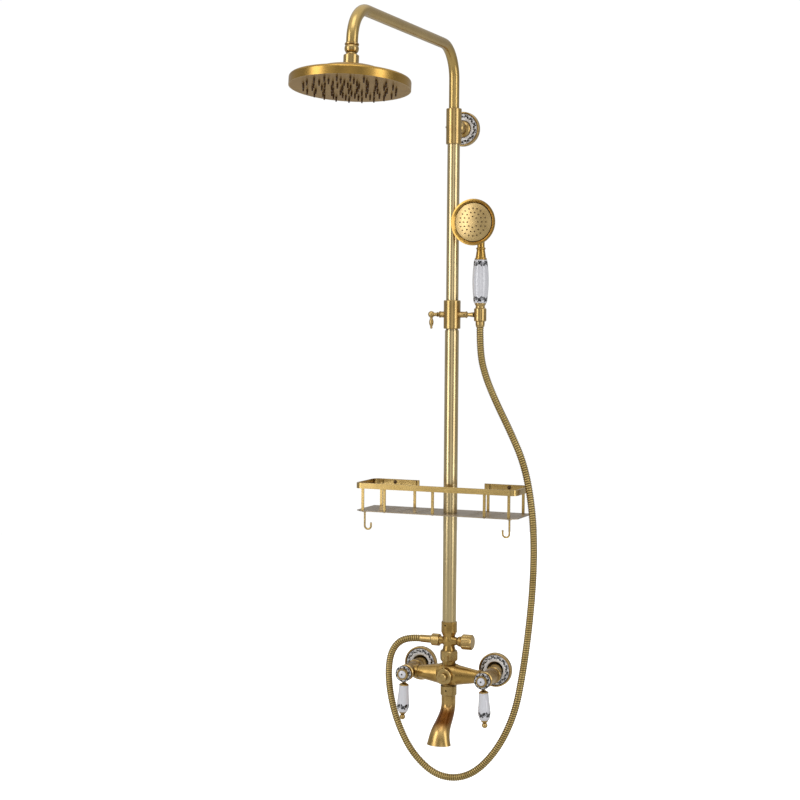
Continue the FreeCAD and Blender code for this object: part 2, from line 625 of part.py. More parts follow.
def spout_loft(inset, extra):
    """Swan-necked spout as a loft of sections down its axis, each one shrunk by an inset."""
    top = MIXER_Z - SPOUT_COLLAR_TOP - 7
    bottom = MIXER_Z - SPOUT_DROP - extra
    straight = MIXER_Z - SPOUT_STRAIGHT_END
    fall = straight - (MIXER_Z - SPOUT_DROP)
    half_w = SPOUT_MOUTH_WIDTH / 2
    half_d = SPOUT_MOUTH_DEPTH / 2
    # share of the fall, share of the reach, lean in degrees, share of the way to the mouth's size
    stations = (
        (0.22, 0.14, 26, 0.05), (0.46, 0.52, 38, 0.22), (0.70, 0.88, 20, 0.55), (0.86, 0.97, 6, 0.76))
    wires = [
        ellipse_wire(SPOUT_RADIUS - inset, SPOUT_RADIUS - inset, V(0, COLUMN_Y, straight + 8), 0),
        ellipse_wire(SPOUT_RADIUS - inset, SPOUT_RADIUS - inset, V(0, COLUMN_Y, straight), 0),
    ]
    for down, forward, lean, growth in stations:
        half_x = SPOUT_RADIUS + (half_w - SPOUT_RADIUS) * growth - inset
        half_y = SPOUT_RADIUS + (half_d - SPOUT_RADIUS) * growth - inset
        centre = V(0, COLUMN_Y - SPOUT_REACH * forward, straight - fall * down)
        wires.append(ellipse_wire(half_x, half_y, centre, -lean))
    wires.append(ellipse_wire(half_w - inset, half_d - inset, V(0, COLUMN_Y - SPOUT_REACH, bottom), 0))
    bend = Part.makeLoft(wires, True, False)
    pipe = rod(SPOUT_RADIUS - inset, straight + 8, top + extra, V(0, COLUMN_Y, 0), UP)
    return bend, pipe


def spout():
    bend, pipe = spout_loft(0, 0)
    hollow_bend, hollow_pipe = spout_loft(SPOUT_WALL, 1.0)
    return joined(bend, pipe).cut(hollow_bend).cut(hollow_pipe)


# ---- diverter tee ----
def diverter_tee():
    """Cast cross between the mixer and the column: socket up, hose outlet left, knob right."""
    centre = V(0, COLUMN_Y, 0)
    middle = centre + UP * TEE_HEIGHT
    upright = turned([
        (0, RISER_NUT_TOP - 9), (MIXER_SPIGOT_RADIUS, RISER_NUT_TOP - 9),
        (MIXER_SPIGOT_RADIUS, RISER_NUT_TOP + 1),
        (TEE_RADIUS - 1.5, TEE_HEIGHT - 9), (TEE_RADIUS, TEE_HEIGHT, TEE_RADIUS - 1, TEE_HEIGHT + 8),
        (TEE_COLLAR_RADIUS - 1, TEE_COLLAR_BOTTOM - 2), (TEE_COLLAR_RADIUS, TEE_COLLAR_BOTTOM),
        (TEE_COLLAR_RADIUS, TEE_COLLAR_TOP - 1), (TEE_COLLAR_RADIUS - 1, TEE_COLLAR_TOP), (0, TEE_COLLAR_TOP),
    ], centre)
    outlet_end = HOSE_NUT_START + TEE_OUTLET_LENGTH
    outlet = turned([
        (0, 0), (TEE_RADIUS, 0), (TEE_OUTLET_RADIUS - 1, HOSE_NUT_START - 6),
        (TEE_OUTLET_RADIUS, HOSE_NUT_START), (TEE_OUTLET_RADIUS, outlet_end), (0, outlet_end),
    ], middle, LEFT)
    gland = turned([
        (0, 0), (TEE_RADIUS, 0), (TEE_RADIUS - 5, KNOB_START - 9), (TEE_RADIUS - 2.5, KNOB_START - 5),
        (TEE_RADIUS - 2.5, KNOB_START - 0.4), (0, KNOB_START - 0.4),
    ], middle, RIGHT)
    ways = joined(
        rod(WATERWAY, RISER_NUT_TOP - 10, TEE_SOCKET_FLOOR, centre),
        rod(LOWER_RADIUS + FIT, TEE_SOCKET_FLOOR, TEE_COLLAR_TOP + 1, centre),
        rod(HOSE_BORE, 0, outlet_end + 1, middle, LEFT),
        rod(SPOOL_RADIUS + FIT, 0, KNOB_START + 1, middle, RIGHT),
        rod(GRUB_RADIUS + FIT, 0, TEE_COLLAR_RADIUS + 2, riser_grub_point(), riser_grub_direction()))
    return joined(upright, outlet, gland).cut(ways)


def riser_grub_point():
    return V(0, COLUMN_Y, TEE_COLLAR_TOP - 6)


def riser_grub_direction():
    angle = math.radians(10)
    return V(-math.sin(angle), -math.cos(angle), 0)


def diverter_knob():
    """Fluted knob with a flat end, on the spool that turns inside the tee."""
    middle = V(0, COLUMN_Y, TEE_HEIGHT)
    end = KNOB_START + KNOB_LENGTH
    spool = rod(SPOOL_RADIUS, 2, KNOB_START + 1, middle, RIGHT)
    body = turned([
        (0, KNOB_START), (KNOB_RADIUS - 3, KNOB_START), (KNOB_RADIUS, KNOB_START + 3),
        (KNOB_RADIUS, end - 2), (KNOB_RADIUS - 2, end), (0, end),
    ], middle, RIGHT)
    flutes = []
    for k in range(KNOB_FLUTES):
        angle = 2 * math.pi * (k + 0.5) / KNOB_FLUTES
        spot = middle + V(0, math.cos(angle), math.sin(angle)) * (KNOB_RADIUS + 1.6)
        flutes.append(rod(2.6, KNOB_START + 4, end + 1, spot, RIGHT))
    return joined(body.cut(joined(*flutes)), spool)


def grub_screw(point, direction, start, end):
    """Socket set screw along a direction, with a round socket."""
    return tube(GRUB_RADIUS, GRUB_RADIUS / 2, start, end, point, direction)


# ---- column tubes ----
def riser_lower():
    centre = V(0, COLUMN_Y, 0)
    bore = LOWER_RADIUS - LOWER_WALL
    bottom = TEE_SOCKET_FLOOR
    outside = joined(
        rod(LOWER_RADIUS, bottom, SEAM_HEIGHT, centre),
        rod(bore - FIT, SEAM_HEIGHT - 1, SEAM_HEIGHT + SPIGOT_LENGTH, centre))
    return outside.cut(joined(
        rod(bore, bottom - 1, SEAM_HEIGHT - 4, centre),
        rod(bore - FIT - 1.5, SEAM_HEIGHT - 5, SEAM_HEIGHT + SPIGOT_LENGTH + 1, centre)))


def riser_middle():
    return tube(LOWER_RADIUS, LOWER_RADIUS - LOWER_WALL, SEAM_HEIGHT, MIDDLE_TOP, V(0, COLUMN_Y, 0))


def riser_upper():
    return tube(UPPER_RADIUS, UPPER_BORE, UPPER_BOTTOM, UPPER_TOP, V(0, COLUMN_Y, 0))


# ---- top wall bracket ----
def bracket_body():
    """Collar round the column, with a necked stem and a ball that run back to the wall boss."""
    column = V(0, COLUMN_Y, 0)
    wall = V(0, 0, BRACKET_HEIGHT)
    bottom = BRACKET_BOTTOM
    top = BRACKET_TOP
    collar = turned([
        (0, bottom), (BRACKET_COLLAR_RADIUS - 0.8, bottom), (BRACKET_COLLAR_RADIUS, bottom + 0.8),
        (BRACKET_COLLAR_RADIUS, top - 0.8), (BRACKET_COLLAR_RADIUS - 0.8, top), (0, top),
    ], column)
    stem_start = BRACKET_BOSS_FRONT - BOSS_SOCKET_DEPTH
    stem = rod(BRACKET_STEM_RADIUS, stem_start, COLUMN_OFFSET, wall, OUT)
    knuckle = ball(BRACKET_BALL_RADIUS, wall + OUT * BRACKET_BALL_FROM_WALL)
    solid = joined(collar, stem, knuckle)
    return solid.cut(joined(
        rod(UPPER_RADIUS + FIT, bottom - 1, UPPER_TOP, column),
        rod(ARM_RADIUS + FIT, UPPER_TOP - 1, top + 1, column),
        rod(GRUB_RADIUS + FIT, 0, BRACKET_COLLAR_RADIUS + 2, bracket_grub_point(), LEFT),
        rod(LOCK_THREAD + FIT, 3, BRACKET_BALL_RADIUS + 2, lock_base(), UP)))


def bracket_grub_point():
    return V(0, COLUMN_Y, BRACKET_HEIGHT - 1)


def lock_base():
    return V(0, -BRACKET_BALL_FROM_WALL, BRACKET_HEIGHT)


def bracket_plate():
    """Round plate screwed to the wall behind the boss."""
    plate = rod(BRACKET_PLATE_RADIUS, 0, BRACKET_PLATE, V(0, 0, BRACKET_HEIGHT), OUT)
    holes = [rod(SCREW_RADIUS + FIT, -1, BRACKET_PLATE + 1, bracket_screw_point(side), OUT)
             for side in (-1, 1)]
    return plate.cut(joined(*holes))


def bracket_boss():
    """Domed boss over the plate and its screw heads; it grips the bracket's stem."""
    stem = BRACKET_STEM_RADIUS + FIT
    cavity = BRACKET_BOSS_RADIUS - BOSS_WALL
    cavity_top = BRACKET_PLATE + SCREW_HEAD_HEIGHT + 1.0
    socket = BRACKET_BOSS_FRONT - BOSS_SOCKET_DEPTH
    return turned([
        (0, cavity_top), (cavity, cavity_top), (cavity, BRACKET_PLATE), (BRACKET_BOSS_RADIUS, BRACKET_PLATE),
        (BRACKET_BOSS_RADIUS, 8), (BRACKET_BOSS_RADIUS - 2.5, 11, stem + 2, BRACKET_BOSS_FRONT),
        (stem, BRACKET_BOSS_FRONT), (stem, socket), (0, socket),
    ], V(0, 0, BRACKET_HEIGHT), OUT)


def bracket_screw_point(side):
    return V(0, 0, BRACKET_HEIGHT) + RIGHT * (side * BRACKET_SCREW_SPACING / 2)


def wall_screw(point, seat):
    """Round-headed wall screw: its head sits at a distance from the wall, its shank is in the wall."""
    neck = SCREW_RADIUS - SCREW_NECK
    return turned([
        (0, -SCREW_DEPTH), (SCREW_RADIUS - 1, -SCREW_DEPTH), (SCREW_RADIUS, 2 - SCREW_DEPTH),
        (SCREW_RADIUS, -THREAD_START), (neck, -THREAD_START), (neck, seat),
        (SCREW_HEAD_RADIUS, seat), (seat + SCREW_HEAD_HEIGHT,),
    ], point, OUT)


def bracket_lock():
    """Thumb screw in the top of the bracket's ball: a slim tapering stem with a small ball."""
    start = BRACKET_BALL_RADIUS + 0.4
    end = start + LOCK_STEM_LENGTH
    tip = 4.4
    return turned([
        (0, 4), (LOCK_THREAD, 4), (LOCK_THREAD, start), (3.8, start), (2.7, end - 2 * tip),
        (3.6, end - 2 * tip + 0.8), (3.0, end - 2 * tip + 1.4), (end,),
    ], lock_base(), UP)


# ---- arm and its guide ----
def head_down():
    lean = math.radians(HEAD_LEAN)
    return V(0, -math.sin(lean), -math.cos(lean))


def swivel_point():
    return V(0, COLUMN_Y - ARM_REACH, ARM_HEIGHT - ARM_DROP)


def arm_path():
    """Straight up out of the column, over a bend, level, and down to the swivel."""
    column_bottom = V(0, COLUMN_Y, ARM_BOTTOM)
    bend_start = V(0, COLUMN_Y, ARM_HEIGHT - ARM_BEND)
    bend_end = V(0, COLUMN_Y - ARM_BEND, ARM_HEIGHT)
    half = math.radians(45)
    centre = V(0, COLUMN_Y - ARM_BEND, ARM_HEIGHT - ARM_BEND)
    bend_middle = centre + V(0, math.cos(half), math.sin(half)) * ARM_BEND
    pipe_end = swivel_point() - head_down() * ADAPTER_SOCKET
    turn = math.radians(90 - HEAD_LEAN)
    rise = ARM_BEND * (1 - math.cos(turn))
    straight = (ARM_HEIGHT - rise - pipe_end.z) / math.cos(math.radians(HEAD_LEAN))
    drop_start = pipe_end - head_down() * straight
    front = V(0, drop_start.y + ARM_BEND * math.sin(turn), ARM_HEIGHT)
    front_centre = front - UP * ARM_BEND
    drop_middle = front_centre + V(0, -math.sin(turn / 2), math.cos(turn / 2)) * ARM_BEND
    return Part.Wire([
        Part.LineSegment(column_bottom, bend_start).toShape(),
        Part.Arc(bend_start, bend_middle, bend_end).toShape(),
        Part.LineSegment(bend_end, front).toShape(),
        Part.Arc(front, drop_middle, drop_start).toShape(),
        Part.LineSegment(drop_start, pipe_end).toShape(),
    ])


def swept(path, radius):
    start = path.Edges[0].valueAt(path.Edges[0].FirstParameter)
    along = path.Edges[0].tangentAt(path.Edges[0].FirstParameter)
    return path.makePipeShell([circle_wire(radius, start, along)], True, False)


def arm_tube():
    path = arm_path()
    return swept(path, ARM_RADIUS).cut(swept(path, ARM_RADIUS - ARM_WALL))


def arm_guide():
    """Plastic ring plugged into the arm's lower end: it slides in the column, and the arm turns on it."""
    bore = ARM_RADIUS - ARM_WALL
    inner = bore - 2.4
    top = ARM_BOTTOM - 0.2
    return turned([
        (inner, top - GUIDE_LENGTH), (ARM_RADIUS, top - GUIDE_LENGTH), (ARM_RADIUS, top), (bore - FIT, top),
        (bore - FIT, top + GUIDE_SPIGOT), (inner, top + GUIDE_SPIGOT),
    ], V(0, COLUMN_Y, 0))


# ---- swivel and rain head, built along the leaning axis: distances run down from the ball's centre ----
def swivel_adapter():
    """Turned end piece soldered over the arm's end, with the swivel ball below it."""
    ring = 3.0
    top = -ADAPTER_END
    bottom = -ADAPTER_START
    solid = turned([
        (0, top), (ADAPTER_RADIUS - 1.2, top), (ADAPTER_RADIUS, top + 1.2), (ADAPTER_RADIUS, top + ring),
        (ADAPTER_RADIUS - 1.4, top + ring + 1),
        (ADAPTER_RADIUS, (top + bottom) / 2, ADAPTER_RADIUS - 2.8, bottom), (0, bottom),
    ], swivel_point(), head_down())
    solid = joined(solid, ball(BALL_RADIUS, swivel_point()))
    return solid.cut(joined(
        rod(ARM_RADIUS + SOLDER_GAP, -ADAPTER_END - 1, -ADAPTER_SOCKET, swivel_point(), head_down()),
        rod(4.0, -ADAPTER_SOCKET - 1, BALL_RADIUS + 1, swivel_point(), head_down())))


def swivel_seat():
    """Plastic seat ring between the ball and the nut."""
    shell = ball(SEAT_OUTER, swivel_point()).cut(ball(SEAT_BORE, swivel_point()))
    return shell.common(rod(SEAT_OUTER + 1, 0.6, 5.6, swivel_point(), head_down()))


def swivel_nut():
    edge = 1.0
    top = -0.8
    inner = 6.4
    solid = turned([
        (0, top), (SWIVEL_NUT_RADIUS - edge, top), (SWIVEL_NUT_RADIUS, top + edge),
        (SWIVEL_NUT_RADIUS, NUT_BOTTOM - edge), (SWIVEL_NUT_RADIUS - edge, NUT_BOTTOM), (0, NUT_BOTTOM),
    ], swivel_point(), head_down())
    pocket = SEAT_OUTER + FIT
    solid = solid.cut(ball(pocket, swivel_point()))
    mouth = rod(pocket - 0.01, top - 1, 0, swivel_point(), head_down())
    return solid.cut(joined(mouth, rod(inner, 5, NUT_BOTTOM + 1, swivel_point(), head_down())))


def head_shell():
    """Spun brass dome, open below, with a stepped crown and an upright rim."""
    face = HEAD_FACE_BELOW_BALL
    r = HEAD_RADIUS
    rim = face - HEAD_RIM_HEIGHT
    crown = NUT_BOTTOM
    outer = turned([
        (0, crown), (12, crown), (16, crown + 1.2), (44, crown + 4.2), (55, crown + 7.5, 58, crown + 10.5),
        (r - 6, rim - 3.2), (r - 1, rim - 1.6, r, rim + 1.5), (r, face), (0, face),
    ], swivel_point(), head_down())
    w = HEAD_WALL
    hollow = turned([
        (0, crown + w), (16, crown + w + 1.2), (43, crown + w + 4.2),
        (53, crown + w + 7.5, 56, crown + w + 10.7),
        (r - 7, rim - 3 + w), (r - w, rim + 2), (r - w, face + 1), (0, face + 1),
    ], swivel_point(), head_down())
    return outer.cut(hollow).cut(rod(5.0, crown - 1, crown + w + 1, swivel_point(), head_down()))


def nozzle_points(rings):
    points = []
    for radius, count in rings:
        for k in range(count):
            angle = 2 * math.pi * k / count
            points.append(V(radius * math.cos(angle), radius * math.sin(angle), 0))
    return points


def head_face():
    """Face plate in the rim's mouth, drilled for the nozzles."""
    radius = HEAD_RADIUS - HEAD_WALL - 0.05
    start = HEAD_FACE_BELOW_BALL - FACE_THICKNESS
    plate = Part.makeCylinder(radius, FACE_THICKNESS, V(0, 0, start))
    holes = [Part.makeCylinder(NOZZLE_RADIUS + FIT, FACE_THICKNESS + 2, V(p.x, p.y, start - 1))
             for p in nozzle_points(NOZZLE_RINGS)]
    return aim(plate.cut(Part.makeCompound(holes)), swivel_point(), head_down())


def head_nozzles():
    """One rubber mat behind the face plate, with a soft nipple through each hole."""
    back = HEAD_FACE_BELOW_BALL - FACE_THICKNESS - MAT_THICKNESS
    mat = Part.makeCylinder(HEAD_RADIUS - HEAD_WALL - 2, MAT_THICKNESS, V(0, 0, back))
    nipples = []
    length = FACE_THICKNESS + NOZZLE_LENGTH
    for p in nozzle_points(NOZZLE_RINGS):
        start = V(p.x, p.y, back + MAT_THICKNESS)
        nipples.append(Part.makeCylinder(NOZZLE_RADIUS, FACE_THICKNESS + 1, start))
        nipples.append(Part.makeCone(NOZZLE_RADIUS, NOZZLE_RADIUS * 0.7, length - FACE_THICKNESS - 1,
                                     start + UP * (FACE_THICKNESS + 1)))
    return aim(mat.multiFuse(nipples), swivel_point(), head_down())


# ---- slider on the column ----
def slider_bush():
    return tube(BUSH_BORE + BUSH_WALL, BUSH_BORE, SLIDER_BOTTOM + 1, SLIDER_TOP - 1, V(0, COLUMN_Y, 0))


def holder_point():
    return V(HANDSET_OFFSET, COLUMN_Y, HOLDER_HEIGHT)


def slider_collar():
    """Collar with a turned arm to the right for the cradle and a turned boss to the left for the lock."""
    column = V(0, COLUMN_Y, 0)
    across = V(0, COLUMN_Y, HOLDER_HEIGHT)
    bottom = SLIDER_BOTTOM
    top = SLIDER_TOP
    r = SLIDER_RADIUS
    collar = turned([
        (0, bottom), (r - 1, bottom), (r, bottom + 1), (r, top - 1), (r - 1, top), (0, top),
    ], column)
    holder_arm = turned([
        (0, 0), (5.6, 0), (5.6, r + 8), (5.0, r + 11), (6.4, r + 12.4, 5.0, r + 13.8), (3.4, r + 16.5),
        (4.6, ARM_FACE - 2), (4.6, ARM_FACE), (0, ARM_FACE),
    ], across, RIGHT)
    lock_boss = turned([
        (0, 0), (5.6, 0), (5.6, r + 5.5), (5.0, r + 7), (6.2, r + 8.2, 5.0, r + 9.4), (3.2, r + 11.5),
        (0, r + 11.5),
    ], across, LEFT)
    return joined(collar, holder_arm, lock_boss).cut(joined(
        rod(BUSH_BORE + BUSH_WALL + FIT, bottom + 0.9, top - 0.9, column),
        rod(UPPER_RADIUS + 0.4, bottom - 1, top + 1, column),
        rod(PIVOT_RADIUS + FIT, ARM_FACE - 9, ARM_FACE + 1, across, RIGHT),
        rod(LOCK_STEM_RADIUS + FIT, r + LOCK_STEM_START - 1, r + 12, across, LEFT)))


def slider_lock():
    """Lock screw: a ball on a short neck, with a small turned lever that hangs from it."""
    across = V(0, COLUMN_Y, HOLDER_HEIGHT)
    start = SLIDER_RADIUS + 11.9
    stem = rod(LOCK_STEM_RADIUS, SLIDER_RADIUS + LOCK_STEM_START, start + 1, across, LEFT)
    neck = turned([
        (0, start), (3.4, start), (4.6, start + 1.2, 3.2, start + 2.6), (3.6, LOCK_BALL_X), (0, LOCK_BALL_X),
    ], across, LEFT)
    centre = across + LEFT * LOCK_BALL_X
    r = LOCK_BALL_RADIUS
    lever = turned([
        (0, 2), (2.6, 2), (2.6, r + 2), (4.2, r + 9, 2.6, r + 15), (1.8, r + 16.5), (r + 20.5,),
    ], centre, DOWN)
    return joined(stem, neck, ball(LOCK_BALL_RADIUS, centre), lever)


def cradle():
    """Sleeve that the hand shower drops into, on a pivot pin in the slider's arm."""
    bottom = -CRADLE_LENGTH / 2
    top = CRADLE_LENGTH / 2
    r = CRADLE_RADIUS
    sleeve = turned([
        (CRADLE_BORE, bottom), (r - 1.6, bottom), (r, bottom + 1.6), (r, top - 1.6), (r - 1.6, top),
        (CRADLE_BORE, top),
    ], holder_point())
    pin = rod(PIVOT_RADIUS, CRADLE_BORE + 1.2, CRADLE_RADIUS + 8.5, holder_point(), LEFT)
    return joined(sleeve, pin)


# ---- hand shower ----
def handset_z(distance):
    return V(HANDSET_OFFSET, COLUMN_Y, HOLDER_HEIGHT + distance)


def handset_tail():
    """Bell nut that rests on the cradle, the threaded tail inside it, and the rod through the grip."""
    bottom = -HANDSET_THREAD_END
    solid = turned([
        (0, bottom), (HANDSET_THREAD_RADIUS, bottom), (HANDSET_THREAD_RADIUS, 0), (HANDSET_STEM_RADIUS, 0),
        (HANDSET_STEM_RADIUS, BELL_START), (BELL_RADIUS - 1.6, BELL_START),
        (BELL_RADIUS - 2.4, BELL_START + 3),
        (BELL_RADIUS, BELL_TOP - 1), (BELL_RADIUS, BELL_TOP), (GRIP_ROD_RADIUS, BELL_TOP),
        (GRIP_ROD_RADIUS, GRIP_TOP), (0, GRIP_TOP),
    ], holder_point())
    return solid.cut(rod(HOSE_BORE, bottom - 1, GRIP_TOP + 1, holder_point()))


def handset_grip():
    start = BELL_TOP
    end = GRIP_TOP
    middle = (start + end) / 2
    bore = GRIP_ROD_RADIUS + FIT
    return turned([
        (bore, start), (GRIP_END_RADIUS - 1, start), (GRIP_END_RADIUS, start + 2),
        (GRIP_RADIUS, middle, GRIP_END_RADIUS, end - 2), (GRIP_END_RADIUS - 1, end), (bore, end),
    ], holder_point())


def head_centre():
    """Centre of the hand shower's rim."""
    return handset_z(GRIP_TOP + HANDSET_HEAD_ABOVE_GRIP) + OUT * HANDSET_HEAD_FORWARD


def handset_neck_path():
    """Up from the grip and round into the back of the head."""
    start = handset_z(GRIP_TOP)
    centre = head_centre()
    bend = 20.0
    half = math.radians(45)
    bend_start = V(start.x, start.y, centre.z - bend)
    pivot = V(start.x, start.y - bend, centre.z - bend)
    bend_middle = pivot + V(0, math.cos(half), math.sin(half)) * bend
    bend_end = V(start.x, start.y - bend, centre.z)
    back = V(start.x, centre.y + HANDSET_HEAD_DEPTH - 3, centre.z)
    return Part.Wire([
        Part.LineSegment(start + UP * 20, bend_start).toShape(),
        Part.Arc(bend_start, bend_middle, bend_end).toShape(),
        Part.LineSegment(bend_end, back).toShape(),
    ])


def handset_head():
    """Cast neck and cup: a cone and bead above the grip, a bent neck, and the flared cup."""
    start = GRIP_TOP
    cone = turned([
        (0, start), (NECK_BASE_RADIUS + 1.6, start), (NECK_BASE_RADIUS + 1.6, start + 1.6),
        (NECK_BASE_RADIUS, start + 3.4), (NECK_RADIUS + 0.6, start + 18),
        (NECK_RADIUS + 2, start + 20, NECK_RADIUS, start + 22), (0, start + 22),
    ], holder_point())
    neck = swept(handset_neck_path(), NECK_RADIUS)
    r = HANDSET_HEAD_RADIUS
    depth = HANDSET_HEAD_DEPTH
    recess = r - HANDSET_RIM_WIDTH
    cup = turned([
        (0, -depth), (9, -depth), (24, 4 - depth, 33, 10 - depth), (r - 5, -5), (r, -2.2), (r, 0),
        (r - 3, 0.6), (recess, -4), (recess, -HANDSET_SEAT_DEPTH), (0, -HANDSET_SEAT_DEPTH),
    ], head_centre(), OUT)
    bore = NECK_RADIUS - NECK_WALL
    solid = joined(cone, neck, cup).cut(swept(handset_neck_path(), bore))
    solid = solid.cut(rod(bore, start - 1, start + 21, holder_point()))
    return solid.cut(rod(bore, 1 - depth, 0, head_centre(), OUT))


def face_height(radius):
    """How far the hand shower's domed face stands out at a radius."""
    return 2.6 - 5.2 * (radius / (HANDSET_HEAD_RADIUS - HANDSET_RIM_WIDTH)) ** 2


def handset_face():
    """Domed spray plate in the cup, drilled for its nozzles."""
    r = HANDSET_HEAD_RADIUS - HANDSET_RIM_WIDTH - FIT
    back = -HANDSET_SEAT_DEPTH
    plate = turned([(0, back), (r, back), (r, face_height(r)), (face_height(0),)])
    holes = [Part.makeCylinder(HANDSET_NOZZLE_RADIUS + FIT, 30, V(p.x, p.y, back - 1))
             for p in nozzle_points(HANDSET_RINGS)]
    return aim(plate.cut(Part.makeCompound(holes)), head_centre(), OUT)


def handset_nozzles():
    back = 0.2 - HANDSET_SEAT_DEPTH
    pins = []
    for radius, count in HANDSET_RINGS:
        length = face_height(radius) + 1.6 - back
        for p in nozzle_points(((radius, count),)):
            pins.append(Part.makeCylinder(HANDSET_NOZZLE_RADIUS, length, V(p.x, p.y, back)))
    return aim(Part.makeCompound(pins), head_centre(), OUT)


# ---- hose and its nuts ----
def hose_top_nut():
    """Conical nut under the cradle, screwed on the hand shower's tail."""
    r = HANDSET_STEM_RADIUS
    bottom = HOSE_ROUTE[0][2] - HOLDER_HEIGHT
    top = -0.2
    nut = turned([
        (0, bottom), (HOSE_RADIUS + 0.2, bottom), (r - 0.6, bottom + 2), (r, bottom + 5), (r, top), (0, top),
    ], holder_point())
    return nut.cut(joined(
        rod(HANDSET_THREAD_RADIUS + FIT, -HANDSET_THREAD_END - 0.1, 0, holder_point()),
        rod(HOSE_BORE, bottom + 3, 0, holder_point())))


def hose_bottom_nut():
    """Round nut on the tee's outlet and the long ferrule that the hose is crimped into."""
    middle = V(0, COLUMN_Y, TEE_HEIGHT)
    nut_end = HOSE_NUT_START + HOSE_NUT_LENGTH
    ferrule_end = -HOSE_ROUTE[-1][0]
    thread_end = HOSE_NUT_START + TEE_OUTLET_LENGTH
    r = HOSE_NUT_RADIUS
    solid = turned([
        (0, HOSE_NUT_START), (r - 1, HOSE_NUT_START), (r, HOSE_NUT_START + 1), (r, nut_end - 1.5),
        (r - 1.5, nut_end), (HOSE_RADIUS + 0.6, nut_end), (HOSE_RADIUS + 0.2, ferrule_end), (0, ferrule_end),
    ], middle, LEFT)
    return solid.cut(joined(
        rod(TEE_OUTLET_RADIUS + FIT, HOSE_NUT_START - 1, thread_end + 0.2, middle, LEFT),
        rod(HOSE_BORE, HOSE_NUT_START, ferrule_end - 2, middle, LEFT)))


def shower_hose():
    """Plain round tube: straight runs joined by tangent arcs."""
    points = [V(*p) for p in HOSE_ROUTE]
    edges = []
    here = points[0]
    for before, corner, after in zip(points, points[1:], points[2:]):
        incoming = (corner - before).normalize()
        outgoing = (after - corner).normalize()
        turn = incoming.getAngle(outgoing)
        shorter = min((corner - before).Length, (after - corner).Length)
        setback = 0.45 * shorter
        radius = setback / math.tan(turn / 2)
        arc_start = corner - incoming * setback
        arc_end = corner + outgoing * setback
        inward = (outgoing - incoming).normalize()
        middle = corner + inward * (radius / math.cos(turn / 2) - radius)
        edges.append(Part.LineSegment(here, arc_start).toShape())
        edges.append(Part.Arc(arc_start, middle, arc_end).toShape())
        here = arc_end
    edges.append(Part.LineSegment(here, points[-1]).toShape())
    return swept(Part.Wire(edges), HOSE_RADIUS)


# ---- shelf ----
def shelf_edges():
    left = SHELF_SHIFT - SHELF_WIDTH / 2
    right = SHELF_SHIFT + SHELF_WIDTH / 2
    return left, right


def rounded_plate(x0, x1, y0, y1, z0, z1, radius):
    plate = box(x0, x1, y0, y1, z0, z1)
    upright = [e for e in plate.Edges if abs(e.tangentAt(e.FirstParameter).z) > 0.99]
    return plate.makeFillet(radius, upright)


def shelf_rail():
    """Flat bar bent round the front and sides, with a short return along the wall at each side."""
    left, right = shelf_edges()
    top = SHELF_TOP
    bottom = SHELF_TOP - RAIL_HEIGHT
    t = RAIL_THICKNESS
    inside = rounded_plate(left + t, right - t, t - SHELF_DEPTH, -t, bottom - 1, top + 1, SHELF_CORNER - t)
    ring = rounded_plate(left, right, -SHELF_DEPTH, 0, bottom, top, SHELF_CORNER).cut(inside)
    gap = box(SHELF_SHIFT - BACK_GAP / 2, SHELF_SHIFT + BACK_GAP / 2, -t - 1, 1, bottom - 1, top + 1)
    holes = [rod(SCREW_RADIUS + FIT, -1, t + 1, keyhole_point(side), OUT) for side in (-1, 1)]
    return ring.cut(gap).cut(joined(*holes))


def keyhole_point(side):
    return V(SHELF_SHIFT + side * KEYHOLE_SPACING / 2, 0, SHELF_TOP - RAIL_HEIGHT / 2)


def shelf_plate():
    """Slotted sheet with cut corners and a hole that the column passes through."""
    left, right = shelf_edges()
    bottom = PLATE_BOTTOM
    cut = SHELF_CORNER
    front = -SHELF_DEPTH
    back = -0.5
    sheet = Part.Face(Part.makePolygon([
        V(left + cut, front, bottom), V(right - cut, front, bottom), V(right, front + cut, bottom),
        V(right, back, bottom), V(left, back, bottom), V(left, front + cut, bottom),
        V(left + cut, front, bottom),
    ])).extrude(V(0, 0, SHELF_PLATE))
    column_hole = LOWER_RADIUS + PLATE_HOLE_CLEARANCE
    holes = [rod(column_hole, bottom - 1, bottom + SHELF_PLATE + 1, V(0, COLUMN_Y, 0))]
    count = int((SHELF_WIDTH / 2 - 24) // SLOT_PITCH)
    for y in SLOT_ROWS:
        for k in range(-count, count + 1):
            x = SHELF_SHIFT + SLOT_PITCH * k
            if abs(x) > column_hole + SLOT_LENGTH / 2 + 7:
                holes.append(slot_cutter(x, y))
    return sheet.cut(Part.makeCompound(holes))


def slot_cutter(x, y):
    half_l = SLOT_LENGTH / 2
    half_w = SLOT_WIDTH / 2
    low = PLATE_BOTTOM - 1
    high = PLATE_BOTTOM + SHELF_PLATE + 1
    return rounded_plate(x - half_l, x + half_l, y - half_w, y + half_w, low, high, half_w - 0.05)


def post_places():
    """Centre of each upright strip: front ones behind the front rail, back ones in front of the back rail."""
    places = [(SHELF_SHIFT + x, RAIL_THICKNESS + POST_THICKNESS / 2 - SHELF_DEPTH) for x in FRONT_POSTS]
    places += [(SHELF_SHIFT + x, -RAIL_THICKNESS - POST_THICKNESS / 2) for x in BACK_POSTS]
    return places


def shelf_posts():
    bottom = PLATE_BOTTOM + SHELF_PLATE
    top = SHELF_TOP - 1
    half_w = POST_WIDTH / 2
    half_t = POST_THICKNESS / 2
    strips = []
    for x, y in post_places():
        strips.append(box(x - half_w, x + half_w, y - half_t, y + half_t, bottom, top))
    return Part.makeCompound(strips)


